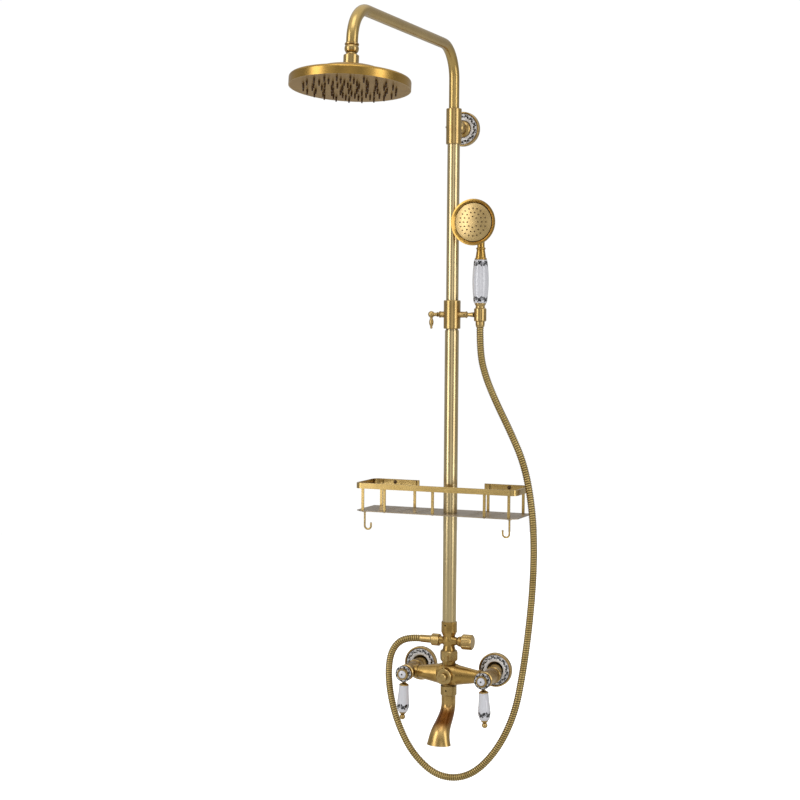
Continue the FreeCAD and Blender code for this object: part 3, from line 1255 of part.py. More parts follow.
def shelf_rivets():
    """Domed rivet heads under the plate, one below each upright strip."""
    heads = [turned([(0, 0), (2.2, 0), (1.3,)], V(x, y, PLATE_BOTTOM), DOWN) for x, y in post_places()]
    return Part.makeCompound(heads)


def shelf_hook(side):
    """Bent wire hook under the plate: a stem, then a half turn that opens towards the middle."""
    x = SHELF_SHIFT + side * (SHELF_WIDTH / 2 - 16)
    y = -SHELF_DEPTH + 12
    bend_z = PLATE_BOTTOM - HOOK_DROP + HOOK_BEND
    inward = -side
    start = V(x, y, PLATE_BOTTOM)
    bend_start = V(x, y, bend_z)
    bend_end = V(x + inward * 2 * HOOK_BEND, y, bend_z)
    bend_middle = V(x + inward * HOOK_BEND, y, bend_z - HOOK_BEND)
    path = Part.Wire([
        Part.LineSegment(start, bend_start).toShape(),
        Part.Arc(bend_start, bend_middle, bend_end).toShape(),
        Part.LineSegment(bend_end, bend_end + UP * 5).toShape(),
    ])
    tip = ball(HOOK_WIRE, bend_end + UP * 5)
    return joined(swept(path, HOOK_WIRE), tip, rod(2 * HOOK_WIRE, -2, 0, start))


# ---- write every node ----
SIDES = (("hot", -1), ("cold", 1))
flange_centres = [inlet_point(-1), inlet_point(1), V(0, 0, BRACKET_HEIGHT)]
flange_bores = [TAIL_RADIUS + FIT, TAIL_RADIUS + FIT, BRACKET_PLATE_RADIUS + FIT]
save("flange_rims", Part.makeCompound([flange_rim(c, b) for c, b in zip(flange_centres, flange_bores)]))
save("flange_porcelain_rings", Part.makeCompound([flange_porcelain(c) for c in flange_centres]))
save("inlet_unions", Part.makeCompound([s_union(side) for name, side in SIDES]))
save("inlet_nuts", Part.makeCompound([union_nut(side) for name, side in SIDES]))
save("mixer_body", mixer_body())
save("riser_nut", riser_nut())
save("valve_cartridges", Part.makeCompound([cartridge(side) for name, side in SIDES]))
save("valve_bonnets", Part.makeCompound([bonnet(side) for name, side in SIDES]))
for name, side in SIDES:
    save(f"{name}_handle_hub", handle_hub(side))
    save(f"{name}_handle_skirt", handle_skirt(side))
    save(f"{name}_handle_cap", handle_cap(side))
    save(f"{name}_handle_grip", handle_grip(side))
    save(f"{name}_handle_finial", handle_finial(side))
save("tub_dial", tub_dial())
save("tub_dial_pin", dial_pin())
save("spout_collar", spout_collar())
save("spout", spout())
save("diverter_tee", diverter_tee())
save("diverter_knob", diverter_knob())
save("grub_screws", Part.makeCompound([
    grub_screw(spout_grub_point(), OUT, SPOUT_RADIUS + 0.3, SPOUT_COLLAR_RADIUS - GRUB_RECESS),
    grub_screw(
        riser_grub_point(), riser_grub_direction(), LOWER_RADIUS + 0.2, TEE_COLLAR_RADIUS - GRUB_RECESS),
    grub_screw(bracket_grub_point(), LEFT, UPPER_RADIUS + 0.3, BRACKET_COLLAR_RADIUS + 1.6)]))
save("riser_lower", riser_lower())
save("riser_middle", riser_middle())
save("riser_upper", riser_upper())
save("bracket_body", bracket_body())
save("bracket_plate", bracket_plate())
save("bracket_boss", bracket_boss())
save("bracket_lock", bracket_lock())
save("wall_screws", Part.makeCompound(
    [wall_screw(bracket_screw_point(side), BRACKET_PLATE) for side in (-1, 1)]
    + [wall_screw(keyhole_point(side), RAIL_THICKNESS) for side in (-1, 1)]))
save("arm_guide", arm_guide())
save("arm_tube", arm_tube())
save("swivel_adapter", swivel_adapter())
save("swivel_seat", swivel_seat())
save("swivel_nut", swivel_nut())
save("rain_head_shell", head_shell())
save("rain_head_face", head_face())
save("rain_head_nozzles", head_nozzles())
save("slider_bush", slider_bush())
save("slider_collar", slider_collar())
save("slider_lock", slider_lock())
save("handset_cradle", cradle())
save("handset_tail", handset_tail())
save("handset_grip", handset_grip())
save("handset_head", handset_head())
save("handset_face", handset_face())
save("handset_nozzles", handset_nozzles())
save("hose_top_nut", hose_top_nut())
save("hose_bottom_nut", hose_bottom_nut())
save("shower_hose", shower_hose())
save("shelf_rail", shelf_rail())
save("shelf_plate", shelf_plate())
save("shelf_posts", shelf_posts())
save("shelf_rivets", shelf_rivets())
save("shelf_hooks", Part.makeCompound([shelf_hook(side) for side in (-1, 1)]))
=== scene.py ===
import math

import bmesh
import bpy
from mathutils import Matrix, Vector


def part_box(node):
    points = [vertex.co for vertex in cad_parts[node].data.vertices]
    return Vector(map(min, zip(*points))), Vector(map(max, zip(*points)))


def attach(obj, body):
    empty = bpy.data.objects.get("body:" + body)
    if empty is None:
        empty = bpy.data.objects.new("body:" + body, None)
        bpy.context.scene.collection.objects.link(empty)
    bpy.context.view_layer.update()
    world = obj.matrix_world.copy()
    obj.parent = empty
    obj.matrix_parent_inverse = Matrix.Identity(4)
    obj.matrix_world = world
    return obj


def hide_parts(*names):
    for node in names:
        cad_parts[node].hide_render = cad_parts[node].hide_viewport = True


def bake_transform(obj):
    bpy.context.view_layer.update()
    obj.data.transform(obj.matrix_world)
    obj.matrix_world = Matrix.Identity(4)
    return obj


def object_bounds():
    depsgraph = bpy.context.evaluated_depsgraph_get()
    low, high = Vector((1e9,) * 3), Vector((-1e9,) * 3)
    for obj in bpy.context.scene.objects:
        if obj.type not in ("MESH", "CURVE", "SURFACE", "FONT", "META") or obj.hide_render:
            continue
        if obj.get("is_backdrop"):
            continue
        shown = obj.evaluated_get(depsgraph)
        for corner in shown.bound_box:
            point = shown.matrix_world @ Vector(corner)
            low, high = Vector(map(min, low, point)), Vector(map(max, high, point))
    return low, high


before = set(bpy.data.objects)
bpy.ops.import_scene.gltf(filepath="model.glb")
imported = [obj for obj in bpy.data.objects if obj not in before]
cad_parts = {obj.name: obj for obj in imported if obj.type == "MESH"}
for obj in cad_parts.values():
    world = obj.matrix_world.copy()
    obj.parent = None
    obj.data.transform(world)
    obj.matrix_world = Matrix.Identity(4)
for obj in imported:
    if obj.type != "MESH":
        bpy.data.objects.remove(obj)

cad_low, cad_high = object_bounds()


# ---- studio ----
# A plain white studio: a pale floor below the part, tall softboxes left and right of the camera
# that draw the long highlights on the brass, and a soft grey fill all round and overhead.
FLOOR_HEIGHT = cad_low.z - 0.72
FLOOR_RADIUS = 9.0
FLOOR_GLOW = (0.0, 0.95)      # light that the floor gives to the object, and to the eye
CAMERA_PLACE = Vector((1.0862, -2.9678, 0.6734))
CAMERA_TARGET = Vector((-0.1002, -0.0600, 0.5054))
CAMERA_ROLL = math.radians(0.446)
CAMERA_LENS = 75.6
SOFTBOXES = (
    # name, azimuth, distance, height, width, tall, watts
    ("key_left", -34, 2.6, 1.1, 0.85, 2.4, 18),
    ("fill_right", 70, 2.6, 1.0, 0.90, 2.4, 14),
    ("top", 10, 1.5, 3.1, 1.8, 1.4, 12),
)
WALL_TONES = (                # brightness of the room, from behind the object to the camera
    (0.0, 0.40), (0.30, 0.40), (0.48, 0.22), (0.70, 0.60), (0.90, 0.60),
    (0.965, 0.12), (1.0, 0.06),
)
CEILING_TONE = 0.80           # brightness overhead
CEILING_EDGES = (0.10, 0.70)  # rise of a ray at which the ceiling starts, and is at its full
SOFTBOX_AIM = Vector((0, -0.1, 0.5))


def linear(code):
    """An sRGB hex colour as linear RGBA."""
    parts = [int(code[k:k + 2], 16) / 255 for k in (1, 3, 5)]
    return [p / 12.92 if p <= 0.04045 else ((p + 0.055) / 1.055) ** 2.4 for p in parts] + [1.0]


def add_node(tree, kind, links=(), **settings):
    """Adds a node, sets its properties and input values by name, and links its inputs."""
    made = tree.nodes.new(kind)
    for name, value in settings.items():
        if name.startswith("in_"):
            key = name[3:]
            made.inputs[int(key) if key.isdigit() else key.replace("_", " ")].default_value = value
        else:
            setattr(made, name, value)
    for target, source in dict(links).items():
        tree.links.new(source, made.inputs[target])
    return made


camera = bpy.data.objects.new("camera", bpy.data.cameras.new("camera"))
camera.data.lens = CAMERA_LENS
camera.location = CAMERA_PLACE
look = (CAMERA_TARGET - CAMERA_PLACE).to_track_quat("-Z", "Y").to_matrix()
camera.rotation_euler = (look @ Matrix.Rotation(CAMERA_ROLL, 3, "Z")).to_euler()
bpy.context.collection.objects.link(camera)
bpy.context.scene.camera = camera
bpy.context.scene.view_settings.view_transform = "Standard"

for name, azimuth, distance, height, width, tall, watts in SOFTBOXES:
    light = bpy.data.lights.new(name, "AREA")
    light.shape = "RECTANGLE"
    light.size = width
    light.size_y = tall
    light.energy = watts
    softbox = bpy.data.objects.new(name, light)
    angle = math.radians(azimuth)
    softbox.location = (math.sin(angle) * distance, -math.cos(angle) * distance, height)
    aim = SOFTBOX_AIM - softbox.location
    softbox.rotation_euler = aim.to_track_quat("-Z", "Y").to_euler()
    bpy.context.collection.objects.link(softbox)

world = bpy.data.worlds.new("white_studio")
bpy.context.scene.world = world
world.use_nodes = True
tree = world.node_tree
tree.nodes.clear()
ray = add_node(tree, "ShaderNodeTexCoord").outputs["Generated"]
facing = add_node(tree, "ShaderNodeVectorMath", {0: ray}, operation="DOT_PRODUCT",
                  in_1=(CAMERA_PLACE - CAMERA_TARGET).normalized())
share = add_node(tree, "ShaderNodeMapRange", {"Value": facing.outputs["Value"]},
                 in_1=-1.0, in_2=1.0)
ramp = add_node(tree, "ShaderNodeValToRGB", {0: share.outputs[0]})
for place, grey in WALL_TONES:
    spot = ramp.color_ramp.elements.new(place)
    spot.color = (grey, grey, grey, 1)
ramp.color_ramp.elements.remove(ramp.color_ramp.elements[0])
ramp.color_ramp.elements.remove(ramp.color_ramp.elements[-1])
upward = add_node(tree, "ShaderNodeSeparateXYZ", {0: ray})
ceiling = add_node(tree, "ShaderNodeMapRange", {"Value": upward.outputs["Z"]},
                   in_1=CEILING_EDGES[0], in_2=CEILING_EDGES[1], in_3=0.0, in_4=CEILING_TONE)
room = add_node(tree, "ShaderNodeMix", {6: ramp.outputs[0], 7: ceiling.outputs[0]},
                data_type="RGBA", blend_type="LIGHTEN", in_0=1.0)
fill = add_node(tree, "ShaderNodeBackground", {"Color": room.outputs[2]}, in_Strength=1.0)
paper = add_node(tree, "ShaderNodeBackground", in_Color=linear("#FFFFFF"), in_Strength=1.02)
path = add_node(tree, "ShaderNodeLightPath")
mix = add_node(tree, "ShaderNodeMixShader",
               {0: path.outputs["Is Camera Ray"], 1: fill.outputs[0], 2: paper.outputs[0]})
add_node(tree, "ShaderNodeOutputWorld", {"Surface": mix.outputs[0]})

bm = bmesh.new()
bmesh.ops.create_circle(bm, cap_ends=True, segments=96, radius=FLOOR_RADIUS)
bmesh.ops.translate(bm, vec=(0, 0, FLOOR_HEIGHT), verts=bm.verts)
floor_mesh = bpy.data.meshes.new("floor")
bm.to_mesh(floor_mesh)
bm.free()
floor = bpy.data.objects.new("floor", floor_mesh)
bpy.context.collection.objects.link(floor)
floor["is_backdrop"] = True
paint = bpy.data.materials.new("floor_paint")
paint.use_nodes = True
shader = paint.node_tree.nodes["Principled BSDF"]
shader.inputs["Base Color"].default_value = linear("#D6D6D3")
shader.inputs["Roughness"].default_value = 0.9
shader.inputs["Emission Color"].default_value = linear("#FFFFFF")
path = add_node(paint.node_tree, "ShaderNodeLightPath")
seen = add_node(paint.node_tree, "ShaderNodeMapRange", {"Value": path.outputs["Is Camera Ray"]},
                in_3=FLOOR_GLOW[0], in_4=FLOOR_GLOW[1])
paint.node_tree.links.new(seen.outputs[0], shader.inputs["Emission Strength"])
floor_mesh.materials.append(paint)


# ---- hose ----
# Antique brass shower hose, 13.5 mm across: a strip of brass sheet wound into a spiral whose
# turns hook into each other round a rubber inner hose, each with a round crown and a dark groove.
# It is cut into four pieces: at the hand shower, the cradle, the slider and the tee.
HOSE_RADIUS = 0.00675
HOSE_PITCH = 0.0042          # drawn a little coarser than the real 2.5 mm so that it shows
HOSE_GROOVE = 0.0012
HOSE_SIDES = 20
HOSE_RINGS_PER_TURN = 6
HOSE_ROUTE = (                # from the nut under the hand shower down and round to the tee
    (0.055, -0.054, 0.643), (0.055, -0.054, 0.597), (0.067, -0.054, 0.551),
    (0.090, -0.055, 0.502), (0.117, -0.056, 0.452), (0.143, -0.057, 0.397),
    (0.158, -0.058, 0.332), (0.165, -0.058, 0.258), (0.164, -0.058, 0.178),
    (0.157, -0.058, 0.093), (0.146, -0.058, 0.008), (0.131, -0.058, -0.070),
    (0.096, -0.057, -0.142), (0.044, -0.056, -0.195), (-0.018, -0.055, -0.203),
    (-0.070, -0.055, -0.165), (-0.103, -0.054, -0.108), (-0.120, -0.054, -0.046),
    (-0.122, -0.054, 0.008), (-0.110, -0.054, 0.041), (-0.084, -0.054, 0.058),
    (-0.056, -0.054, 0.058),
)
HOSE_LIFT_HEIGHT = 0.607     # the hose's piece at the hand shower runs down to here
HOSE_TILT_HEIGHT = 0.522     # its piece at the cradle runs down to here
HOSE_TURN_HEIGHT = 0.360     # its piece at the slider runs down to here; the rest runs to the tee
CLOUD_EDGES = (0.40, 0.72)   # noise at which a cloud of patina starts, and is at its full

curve = bpy.data.curves.new("hose_route", "CURVE")
curve.dimensions = "3D"
curve.resolution_u = 48
spline = curve.splines.new("NURBS")
spline.points.add(len(HOSE_ROUTE) - 1)
for point, place in zip(spline.points, HOSE_ROUTE):
    point.co = (*place, 1.0)
spline.order_u = 3
spline.use_endpoint_u = True
route = bpy.data.objects.new("hose_route", curve)
line = [v.co.copy() for v in bpy.data.meshes.new_from_object(route).vertices]
bpy.data.objects.remove(route)


def evenly(line, step):
    """Points a step apart along a line, its two ends among them."""
    lengths = [0.0]
    for a, b in zip(line, line[1:]):
        lengths.append(lengths[-1] + (b - a).length)
    count = round(lengths[-1] / step)
    points = []
    k = 0
    for i in range(count + 1):
        want = lengths[-1] * i / count
        while k < len(lengths) - 2 and lengths[k + 1] < want:
            k += 1
        share = (want - lengths[k]) / (lengths[k + 1] - lengths[k])
        points.append(line[k].lerp(line[k + 1], share))
    return points


hose_line = evenly(line, HOSE_PITCH / HOSE_RINGS_PER_TURN)


def hose_piece(name, first, last):
    """Spiral tube along the hose's line from one ring to another, closed at both ends."""
    bm = bmesh.new()
    lay = bm.verts.layers.float.new("groove")
    rings = []
    for i in range(first, last + 1):
        before = hose_line[max(i - 1, 0)]
        after = hose_line[min(i + 1, len(hose_line) - 1)]
        along = (after - before).normalized()
        side = along.cross(Vector((0, 1, 0))).normalized()
        front = side.cross(along)
        ring = []
        for k in range(HOSE_SIDES):
            turn = k / HOSE_SIDES
            groove = math.cos(math.pi * (i / HOSE_RINGS_PER_TURN + turn)) ** 4
            around = side * math.cos(2 * math.pi * turn) + front * math.sin(2 * math.pi * turn)
            vert = bm.verts.new(hose_line[i] + around * (HOSE_RADIUS - HOSE_GROOVE * groove))
            vert[lay] = groove
            ring.append(vert)
        rings.append(ring)
    for a, b in zip(rings, rings[1:]):
        for k in range(HOSE_SIDES):
            bm.faces.new((a[k - 1], a[k], b[k], b[k - 1]))
    bm.faces.new(rings[0])
    bm.faces.new(rings[-1])
    bmesh.ops.recalc_face_normals(bm, faces=bm.faces)
    mesh = bpy.data.meshes.new(name)
    bm.to_mesh(mesh)
    bm.free()
    mesh.shade_smooth()
    piece = bpy.data.objects.new(name, mesh)
    bpy.context.collection.objects.link(piece)
    return piece


def ring_below(height):
    """The first ring down from the hand shower that is below a height."""
    return next(i for i, p in enumerate(hose_line) if p.z < height)


lift_ring = ring_below(HOSE_LIFT_HEIGHT)
tilt_ring = ring_below(HOSE_TILT_HEIGHT)
turn_ring = ring_below(HOSE_TURN_HEIGHT)
last_ring = len(hose_line) - 1
hose_lift = hose_piece("hose_lift", 0, lift_ring)
hose_tilt = hose_piece("hose_tilt", lift_ring, tilt_ring)
hose_turn = hose_piece("hose_turn", tilt_ring, turn_ring)
hose_run = hose_piece("hose_run", turn_ring, last_ring)
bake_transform(hose_lift)
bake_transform(hose_tilt)
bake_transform(hose_turn)
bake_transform(hose_run)
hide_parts("shower_hose")


def patina(tree, base, shade, cloud, share):
    """Colour of brass with soft clouds, so many metres across, of darker patina."""
    place = add_node(tree, "ShaderNodeTexCoord")
    clouds = add_node(tree, "ShaderNodeTexNoise", {"Vector": place.outputs["Object"]},
                      in_Scale=1 / cloud, in_Detail=4.0, in_Roughness=0.6)
    amount = add_node(tree, "ShaderNodeMapRange", {"Value": clouds.outputs["Fac"]},
                      in_1=CLOUD_EDGES[0], in_2=CLOUD_EDGES[1], in_3=0.0, in_4=share)
    cloudy = add_node(tree, "ShaderNodeMix", {0: amount.outputs[0]}, data_type="RGBA",
                      in_6=linear(base), in_7=linear(shade))
    return cloudy.outputs[2]


# Antique brass strip, rolled and burnished: bright crowns, and near-black grooves that are patina
# and painted shade.
hose_brass = bpy.data.materials.new("antique_brass_strip")
hose_brass.use_nodes = True
tree = hose_brass.node_tree
shader = tree.nodes["Principled BSDF"]
shader.inputs["Metallic"].default_value = 1.0
shader.inputs["Roughness"].default_value = 0.28
groove = add_node(tree, "ShaderNodeAttribute", attribute_name="groove")
crown = patina(tree, "#D0B577", "#A88C50", 0.05, 0.6)
# Painted shade: the grooves between turns go near-black, along with the brown patina in them.
mix = add_node(tree, "ShaderNodeMix", {0: groove.outputs["Fac"], 6: crown}, data_type="RGBA",
               in_7=linear("#2C1E08"))
tree.links.new(mix.outputs[2], shader.inputs["Base Color"])
for piece in (hose_lift, hose_tilt, hose_turn, hose_run):
    piece.data.materials.append(hose_brass)


# ---- wall flanges and offset unions ----
# A spun and browned brass cup covers each wall connection, with a glazed porcelain ring seated in
# its rolled lip. Each cast offset union screws into the wall behind it, and a round nut draws the
# mixer on to it.
FLANGE_OUT = Vector((0, -1, 0))
RING_PROFILE = (              # radius and distance from the wall, mm
    (16.0, 3.1), (28.6, 3.1), (28.7, 4.4), (28.6, 6.0), (27.4, 7.4), (24.8, 8.6),
    (21.6, 9.0), (18.6, 8.8), (16.6, 8.2), (16.0, 7.4),
)
RING_BAND = 23.8              # radius of the vine's middle line, mm
RING_VINES = 13
SPIN_STEPS = 48
SMOOTHING = 2                 # levels of subdivision of each spun piece
CORNER_REACH = 0.007          # how far the painted shade and patina spread from a corner, metres
# brown of the corners: painted shade and patina together
CORNER_SHADE_AND_PATINA = "#2C1A06"
LACQUER_ROUGHNESS = 0.16
ROUGHNESS_SPREAD = (-0.05, 0.07)
GRAIN_DEPTH = 0.02            # depth of the marks as a share of their size


def patina_brass(name, base, shade, roughness, grain, stretch=(1, 1, 1), cloud=0.035, share=0.5,
                 coat=0.3):
    """Antique brass: patina in clouds, brown in the corners that is patina and painted shade, fine
    marks, a lacquer coat.
    """
    made = bpy.data.materials.new(name)
    made.use_nodes = True
    tree = made.node_tree
    shader = tree.nodes["Principled BSDF"]
    shader.inputs["Metallic"].default_value = 1.0
    shader.inputs["Coat Weight"].default_value = coat
    shader.inputs["Coat Roughness"].default_value = LACQUER_ROUGHNESS
    colour = patina(tree, base, shade, cloud, share)
    # Painted shade: brown laid on where the occlusion node finds other surfaces near, in corners
    # and between parts, along with patina in the hollows.
    near = add_node(tree, "ShaderNodeAmbientOcclusion", in_Distance=CORNER_REACH, samples=4)
    dark = add_node(tree, "ShaderNodeMapRange", {"Value": near.outputs["AO"]},
                    in_1=0.22, in_2=0.82, in_3=1.0, in_4=0.0)
    patina_and_shade = add_node(tree, "ShaderNodeMix", {0: dark.outputs[0], 6: colour}, data_type="RGBA",
                    in_7=linear(CORNER_SHADE_AND_PATINA))
    tree.links.new(patina_and_shade.outputs[2], shader.inputs["Base Color"])
    place = add_node(tree, "ShaderNodeTexCoord")
    laid = add_node(tree, "ShaderNodeMapping", {"Vector": place.outputs["Object"]},
                    in_Scale=stretch)
    marks = add_node(tree, "ShaderNodeTexNoise", {"Vector": laid.outputs[0]},
                     in_Scale=1 / grain, in_Detail=3.0)
    rough = add_node(tree, "ShaderNodeMapRange", {"Value": marks.outputs["Fac"]},
                     in_1=0.3, in_2=0.7, in_3=roughness + ROUGHNESS_SPREAD[0],
                     in_4=roughness + ROUGHNESS_SPREAD[1])
    tree.links.new(rough.outputs[0], shader.inputs["Roughness"])
    bump = add_node(tree, "ShaderNodeBump", {"Height": marks.outputs["Fac"]}, in_Strength=0.12,
                    in_Distance=grain * GRAIN_DEPTH)
    tree.links.new(bump.outputs[0], shader.inputs["Normal"])
    return made


def dress(finish, *nodes):
    """Gives CAD pieces a finish."""
    for node in nodes:
        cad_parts[node].material_slots[0].material = finish


# Brass turned on a lathe, dipped in browning liquor and relieved by hand: a soft satin with pale
# worn faces, and brown in every corner that is patina and painted shade.
turned_brass = patina_brass("turned_antique_brass", "#C4A66A", "#93733D", 0.25, 0.0007)
dress(turned_brass, "flange_rims", "inlet_nuts", "inlet_unions")


def vine_porcelain(name, glaze):
    """Glazed porcelain, hard and wet-looking, with a fired vine in blue-black ink."""
    made = bpy.data.materials.new(name)
    made.use_nodes = True
    tree = made.node_tree
    shader = tree.nodes["Principled BSDF"]
    shader.inputs["Roughness"].default_value = 0.09
    shader.inputs["IOR"].default_value = 1.55
    shader.inputs["Coat Weight"].default_value = 0.6
    shader.inputs["Coat Roughness"].default_value = 0.03
    vine = add_node(tree, "ShaderNodeUVMap", uv_map="vine")
    parts = add_node(tree, "ShaderNodeSeparateXYZ", {0: vine.outputs[0]})
    step = add_node(tree, "ShaderNodeMath", {0: parts.outputs["X"]}, operation="FRACT")
    along = add_node(tree, "ShaderNodeMath", {0: step.outputs[0]}, operation="MULTIPLY",
                     in_1=VINE_STEP)
    turn = add_node(tree, "ShaderNodeMath", {0: step.outputs[0]}, operation="MULTIPLY",
                    in_1=2 * math.pi)
    wave = add_node(tree, "ShaderNodeMath", {0: turn.outputs[0]}, operation="SINE")
    height = add_node(tree, "ShaderNodeMath", {0: wave.outputs[0]}, operation="MULTIPLY",
                      in_1=VINE_WAVE)
    off = add_node(tree, "ShaderNodeMath", {0: parts.outputs["Y"], 1: height.outputs[0]},
                   operation="SUBTRACT")
    away = add_node(tree, "ShaderNodeMath", {0: off.outputs[0]}, operation="ABSOLUTE")
    nearest = add_node(tree, "ShaderNodeMath", {0: away.outputs[0]}, operation="DIVIDE",
                       in_1=VINE_STEM)
    spot = add_node(tree, "ShaderNodeCombineXYZ", {"X": along.outputs[0], "Y": parts.outputs["Y"]})
    for x, y, degrees, length, width in VINE_LEAVES:
        leaf = add_node(tree, "ShaderNodeMapping", {"Vector": spot.outputs[0]},
                        vector_type="TEXTURE", in_Location=(x, y, 0),
                        in_Rotation=(0, 0, math.radians(degrees)),
                        in_Scale=(length / 2, width / 2, 1))
        reach = add_node(tree, "ShaderNodeVectorMath", {0: leaf.outputs[0]}, operation="LENGTH")
        nearest = add_node(tree, "ShaderNodeMath",
                           {0: nearest.outputs[0], 1: reach.outputs["Value"]}, operation="MINIMUM")
    ink = add_node(tree, "ShaderNodeMapRange", {"Value": nearest.outputs[0]},
                   in_1=VINE_EDGE[0], in_2=VINE_EDGE[1], in_3=1.0, in_4=0.0)
    colour = add_node(tree, "ShaderNodeMix", {0: ink.outputs[0]}, data_type="RGBA",
                      in_6=linear(glaze), in_7=linear("#03050C"))
    tree.links.new(colour.outputs[2], shader.inputs["Base Color"])
    return made


# Hard-paste porcelain fired with a clear glaze: bluish-white body, sharp window-like glints. The
# vine is drawn bolder than life, about 5 mm high, so that it shows.
VINE_STEP = 9.6               # length of one repeat, mm
VINE_WAVE = 1.0               # swing of the stem to either side, mm
VINE_STEM = 0.42              # half the stem's thickness, mm
VINE_EDGE = (0.85, 1.15)      # where the ink starts and ends to fade, as shares of a half width
VINE_LEAVES = (               # place along and across in mm, turn in degrees, length and width
    (2.7, -1.1, 24, 4.6, 3.0), (7.2, 1.2, 24, 4.6, 3.0), (4.6, 2.1, -52, 2.6, 1.9),
    (8.9, -2.0, -52, 2.6, 1.9),
)
ring_glaze = vine_porcelain("glazed_vine_porcelain", "#F8F8FA")


def spun_piece(name, profile, base, axis, repeats, across, glaze):
    """A closed shape spun from (radius, distance) pairs in mm, smoothed and glazed.

    Its UV map holds the vine's repeats round the axis, and what `across` makes of a point's
    radius and distance in mm.
    """
    bm = bmesh.new()
    verts = [bm.verts.new((r / 1000, 0, h / 1000)) for r, h in profile]
    edges = [bm.edges.new(pair) for pair in zip(verts, verts[1:])]
    if profile[0][0] > 0:
        edges.append(bm.edges.new((verts[-1], verts[0])))
    bmesh.ops.spin(bm, geom=verts + edges, cent=(0, 0, 0), axis=(0, 0, 1),
                   angle=2 * math.pi, steps=SPIN_STEPS, use_merge=True)
    bmesh.ops.remove_doubles(bm, verts=bm.verts, dist=1e-6)
    bmesh.ops.recalc_face_normals(bm, faces=bm.faces)
    lay = bm.loops.layers.uv.new("vine")
    for face in bm.faces:
        middle = face.calc_center_median()
        facing = math.atan2(middle.y, middle.x)
        for loop in face.loops:
            p = loop.vert.co
            radius = math.hypot(p.x, p.y)
            angle = facing
            if radius > 1e-6:
                angle += math.remainder(math.atan2(p.y, p.x) - facing, 2 * math.pi)
            round_share = angle / (2 * math.pi)
            loop[lay].uv = (repeats * round_share, across(radius * 1000, p.z * 1000))
    turn = axis.to_track_quat("Z", "Y").to_matrix().to_4x4()
    bmesh.ops.transform(bm, matrix=Matrix.Translation(base) @ turn, verts=bm.verts)
    mesh = bpy.data.meshes.new(name)
    bm.to_mesh(mesh)
    bm.free()
    mesh.shade_smooth()
    piece = bpy.data.objects.new(name, mesh)
    bpy.context.collection.objects.link(piece)
    smooth = piece.modifiers.new("smooth", "SUBSURF")
    smooth.levels = smooth.render_levels = SMOOTHING
    mesh.materials.append(glaze)
    return piece


rings_low, rings_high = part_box("flange_porcelain_rings")
ring_radius = RING_PROFILE[2][0] / 1000
ring_places = (
    ("hot_flange_ring", Vector((rings_low.x + ring_radius, 0, rings_low.z + ring_radius))),
    ("cold_flange_ring", Vector((rings_high.x - ring_radius, 0, rings_low.z + ring_radius))),
    ("top_flange_ring", Vector((0, 0, rings_high.z - ring_radius))),
)
for name, place in ring_places:
    ring = spun_piece(name, RING_PROFILE, place, FLANGE_OUT, RING_VINES,
                      lambda r, h: r - RING_BAND, ring_glaze)
    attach(ring, "column")
    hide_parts("flange_porcelain_rings")


# ---- mixer body ----
# The heart of the fitting: one brass casting with two tapering arms and two valve barrels, its
# skin blasted and browned, with the sharper turned seats left bright. A hexagon nut clamps the
# tee down on it.
cast_brass = patina_brass("cast_antique_brass", "#BD9A56", "#8A682F", 0.27, 0.0009,
                          cloud=0.028, share=0.7)
dress(cast_brass, "mixer_body")
dress(turned_brass, "riser_nut")


# ---- valves and lever handles ----
# Ceramic-disc cartridges under turned bonnets. Each handle is a bell-shaped brass hub with a
# porcelain skirt and a porcelain button, and a porcelain grip held on its rod by a ball finial.
SKIRT_PROFILE = (             # radius and distance from the skirt's back, mm
    (11.1, 0.0), (13.6, 0.0), (15.2, 0.5), (15.7, 1.6), (15.4, 2.8), (14.4, 3.5),
    (12.8, 3.6), (11.1, 3.5),
)
SKIRT_BACK = 1.0              # plain up to this distance from the skirt's back, mm
SKIRT_BAND = 14.3
SKIRT_VINES = 6
CAP_PROFILE = (
    (0.0, 0.0), (7.2, 0.0), (7.55, 0.8), (7.55, 3.2), (7.0, 4.1), (5.4, 4.8),
    (2.8, 5.25), (0.0, 5.35),
)
GRIP_PROFILE = (              # radius and distance down the grip, mm
    (3.1, 0.0), (8.2, 0.0), (9.0, 0.7), (9.2, 6.0), (9.8, 15.0), (10.7, 24.0), (11.5, 31.0),
    (11.75, 36.0), (11.4, 41.0), (10.3, 46.2), (8.7, 50.1), (8.0, 51.0), (3.1, 51.0),
)
GRIP_BAND = 39.5
GRIP_VINES = 5
GRIP_STRETCH = 1.7            # how much taller than life the vine is drawn on the grip
CAP_DOT = 1.6                 # radius of the ink dot, mm
VALVE_ACROSS = 0.078          # each valve's distance from the middle, metres
VALVE_HEIGHT = -0.005
GRIP_DROP = 0.022             # from the valve's axis down to the grip
HANDLE_LEAN = 2.5             # degrees that each lever leans outwards
NO_VINE = 50.0                # further from the middle line than any leaf, mm
dress(turned_brass, "valve_bonnets")
# The same porcelain in a greyer copy: its glaze colour is painted shade on the grips and caps,
# which catch more light.
shaded_glaze = vine_porcelain("glazed_grip_porcelain", "#D9D9DF")


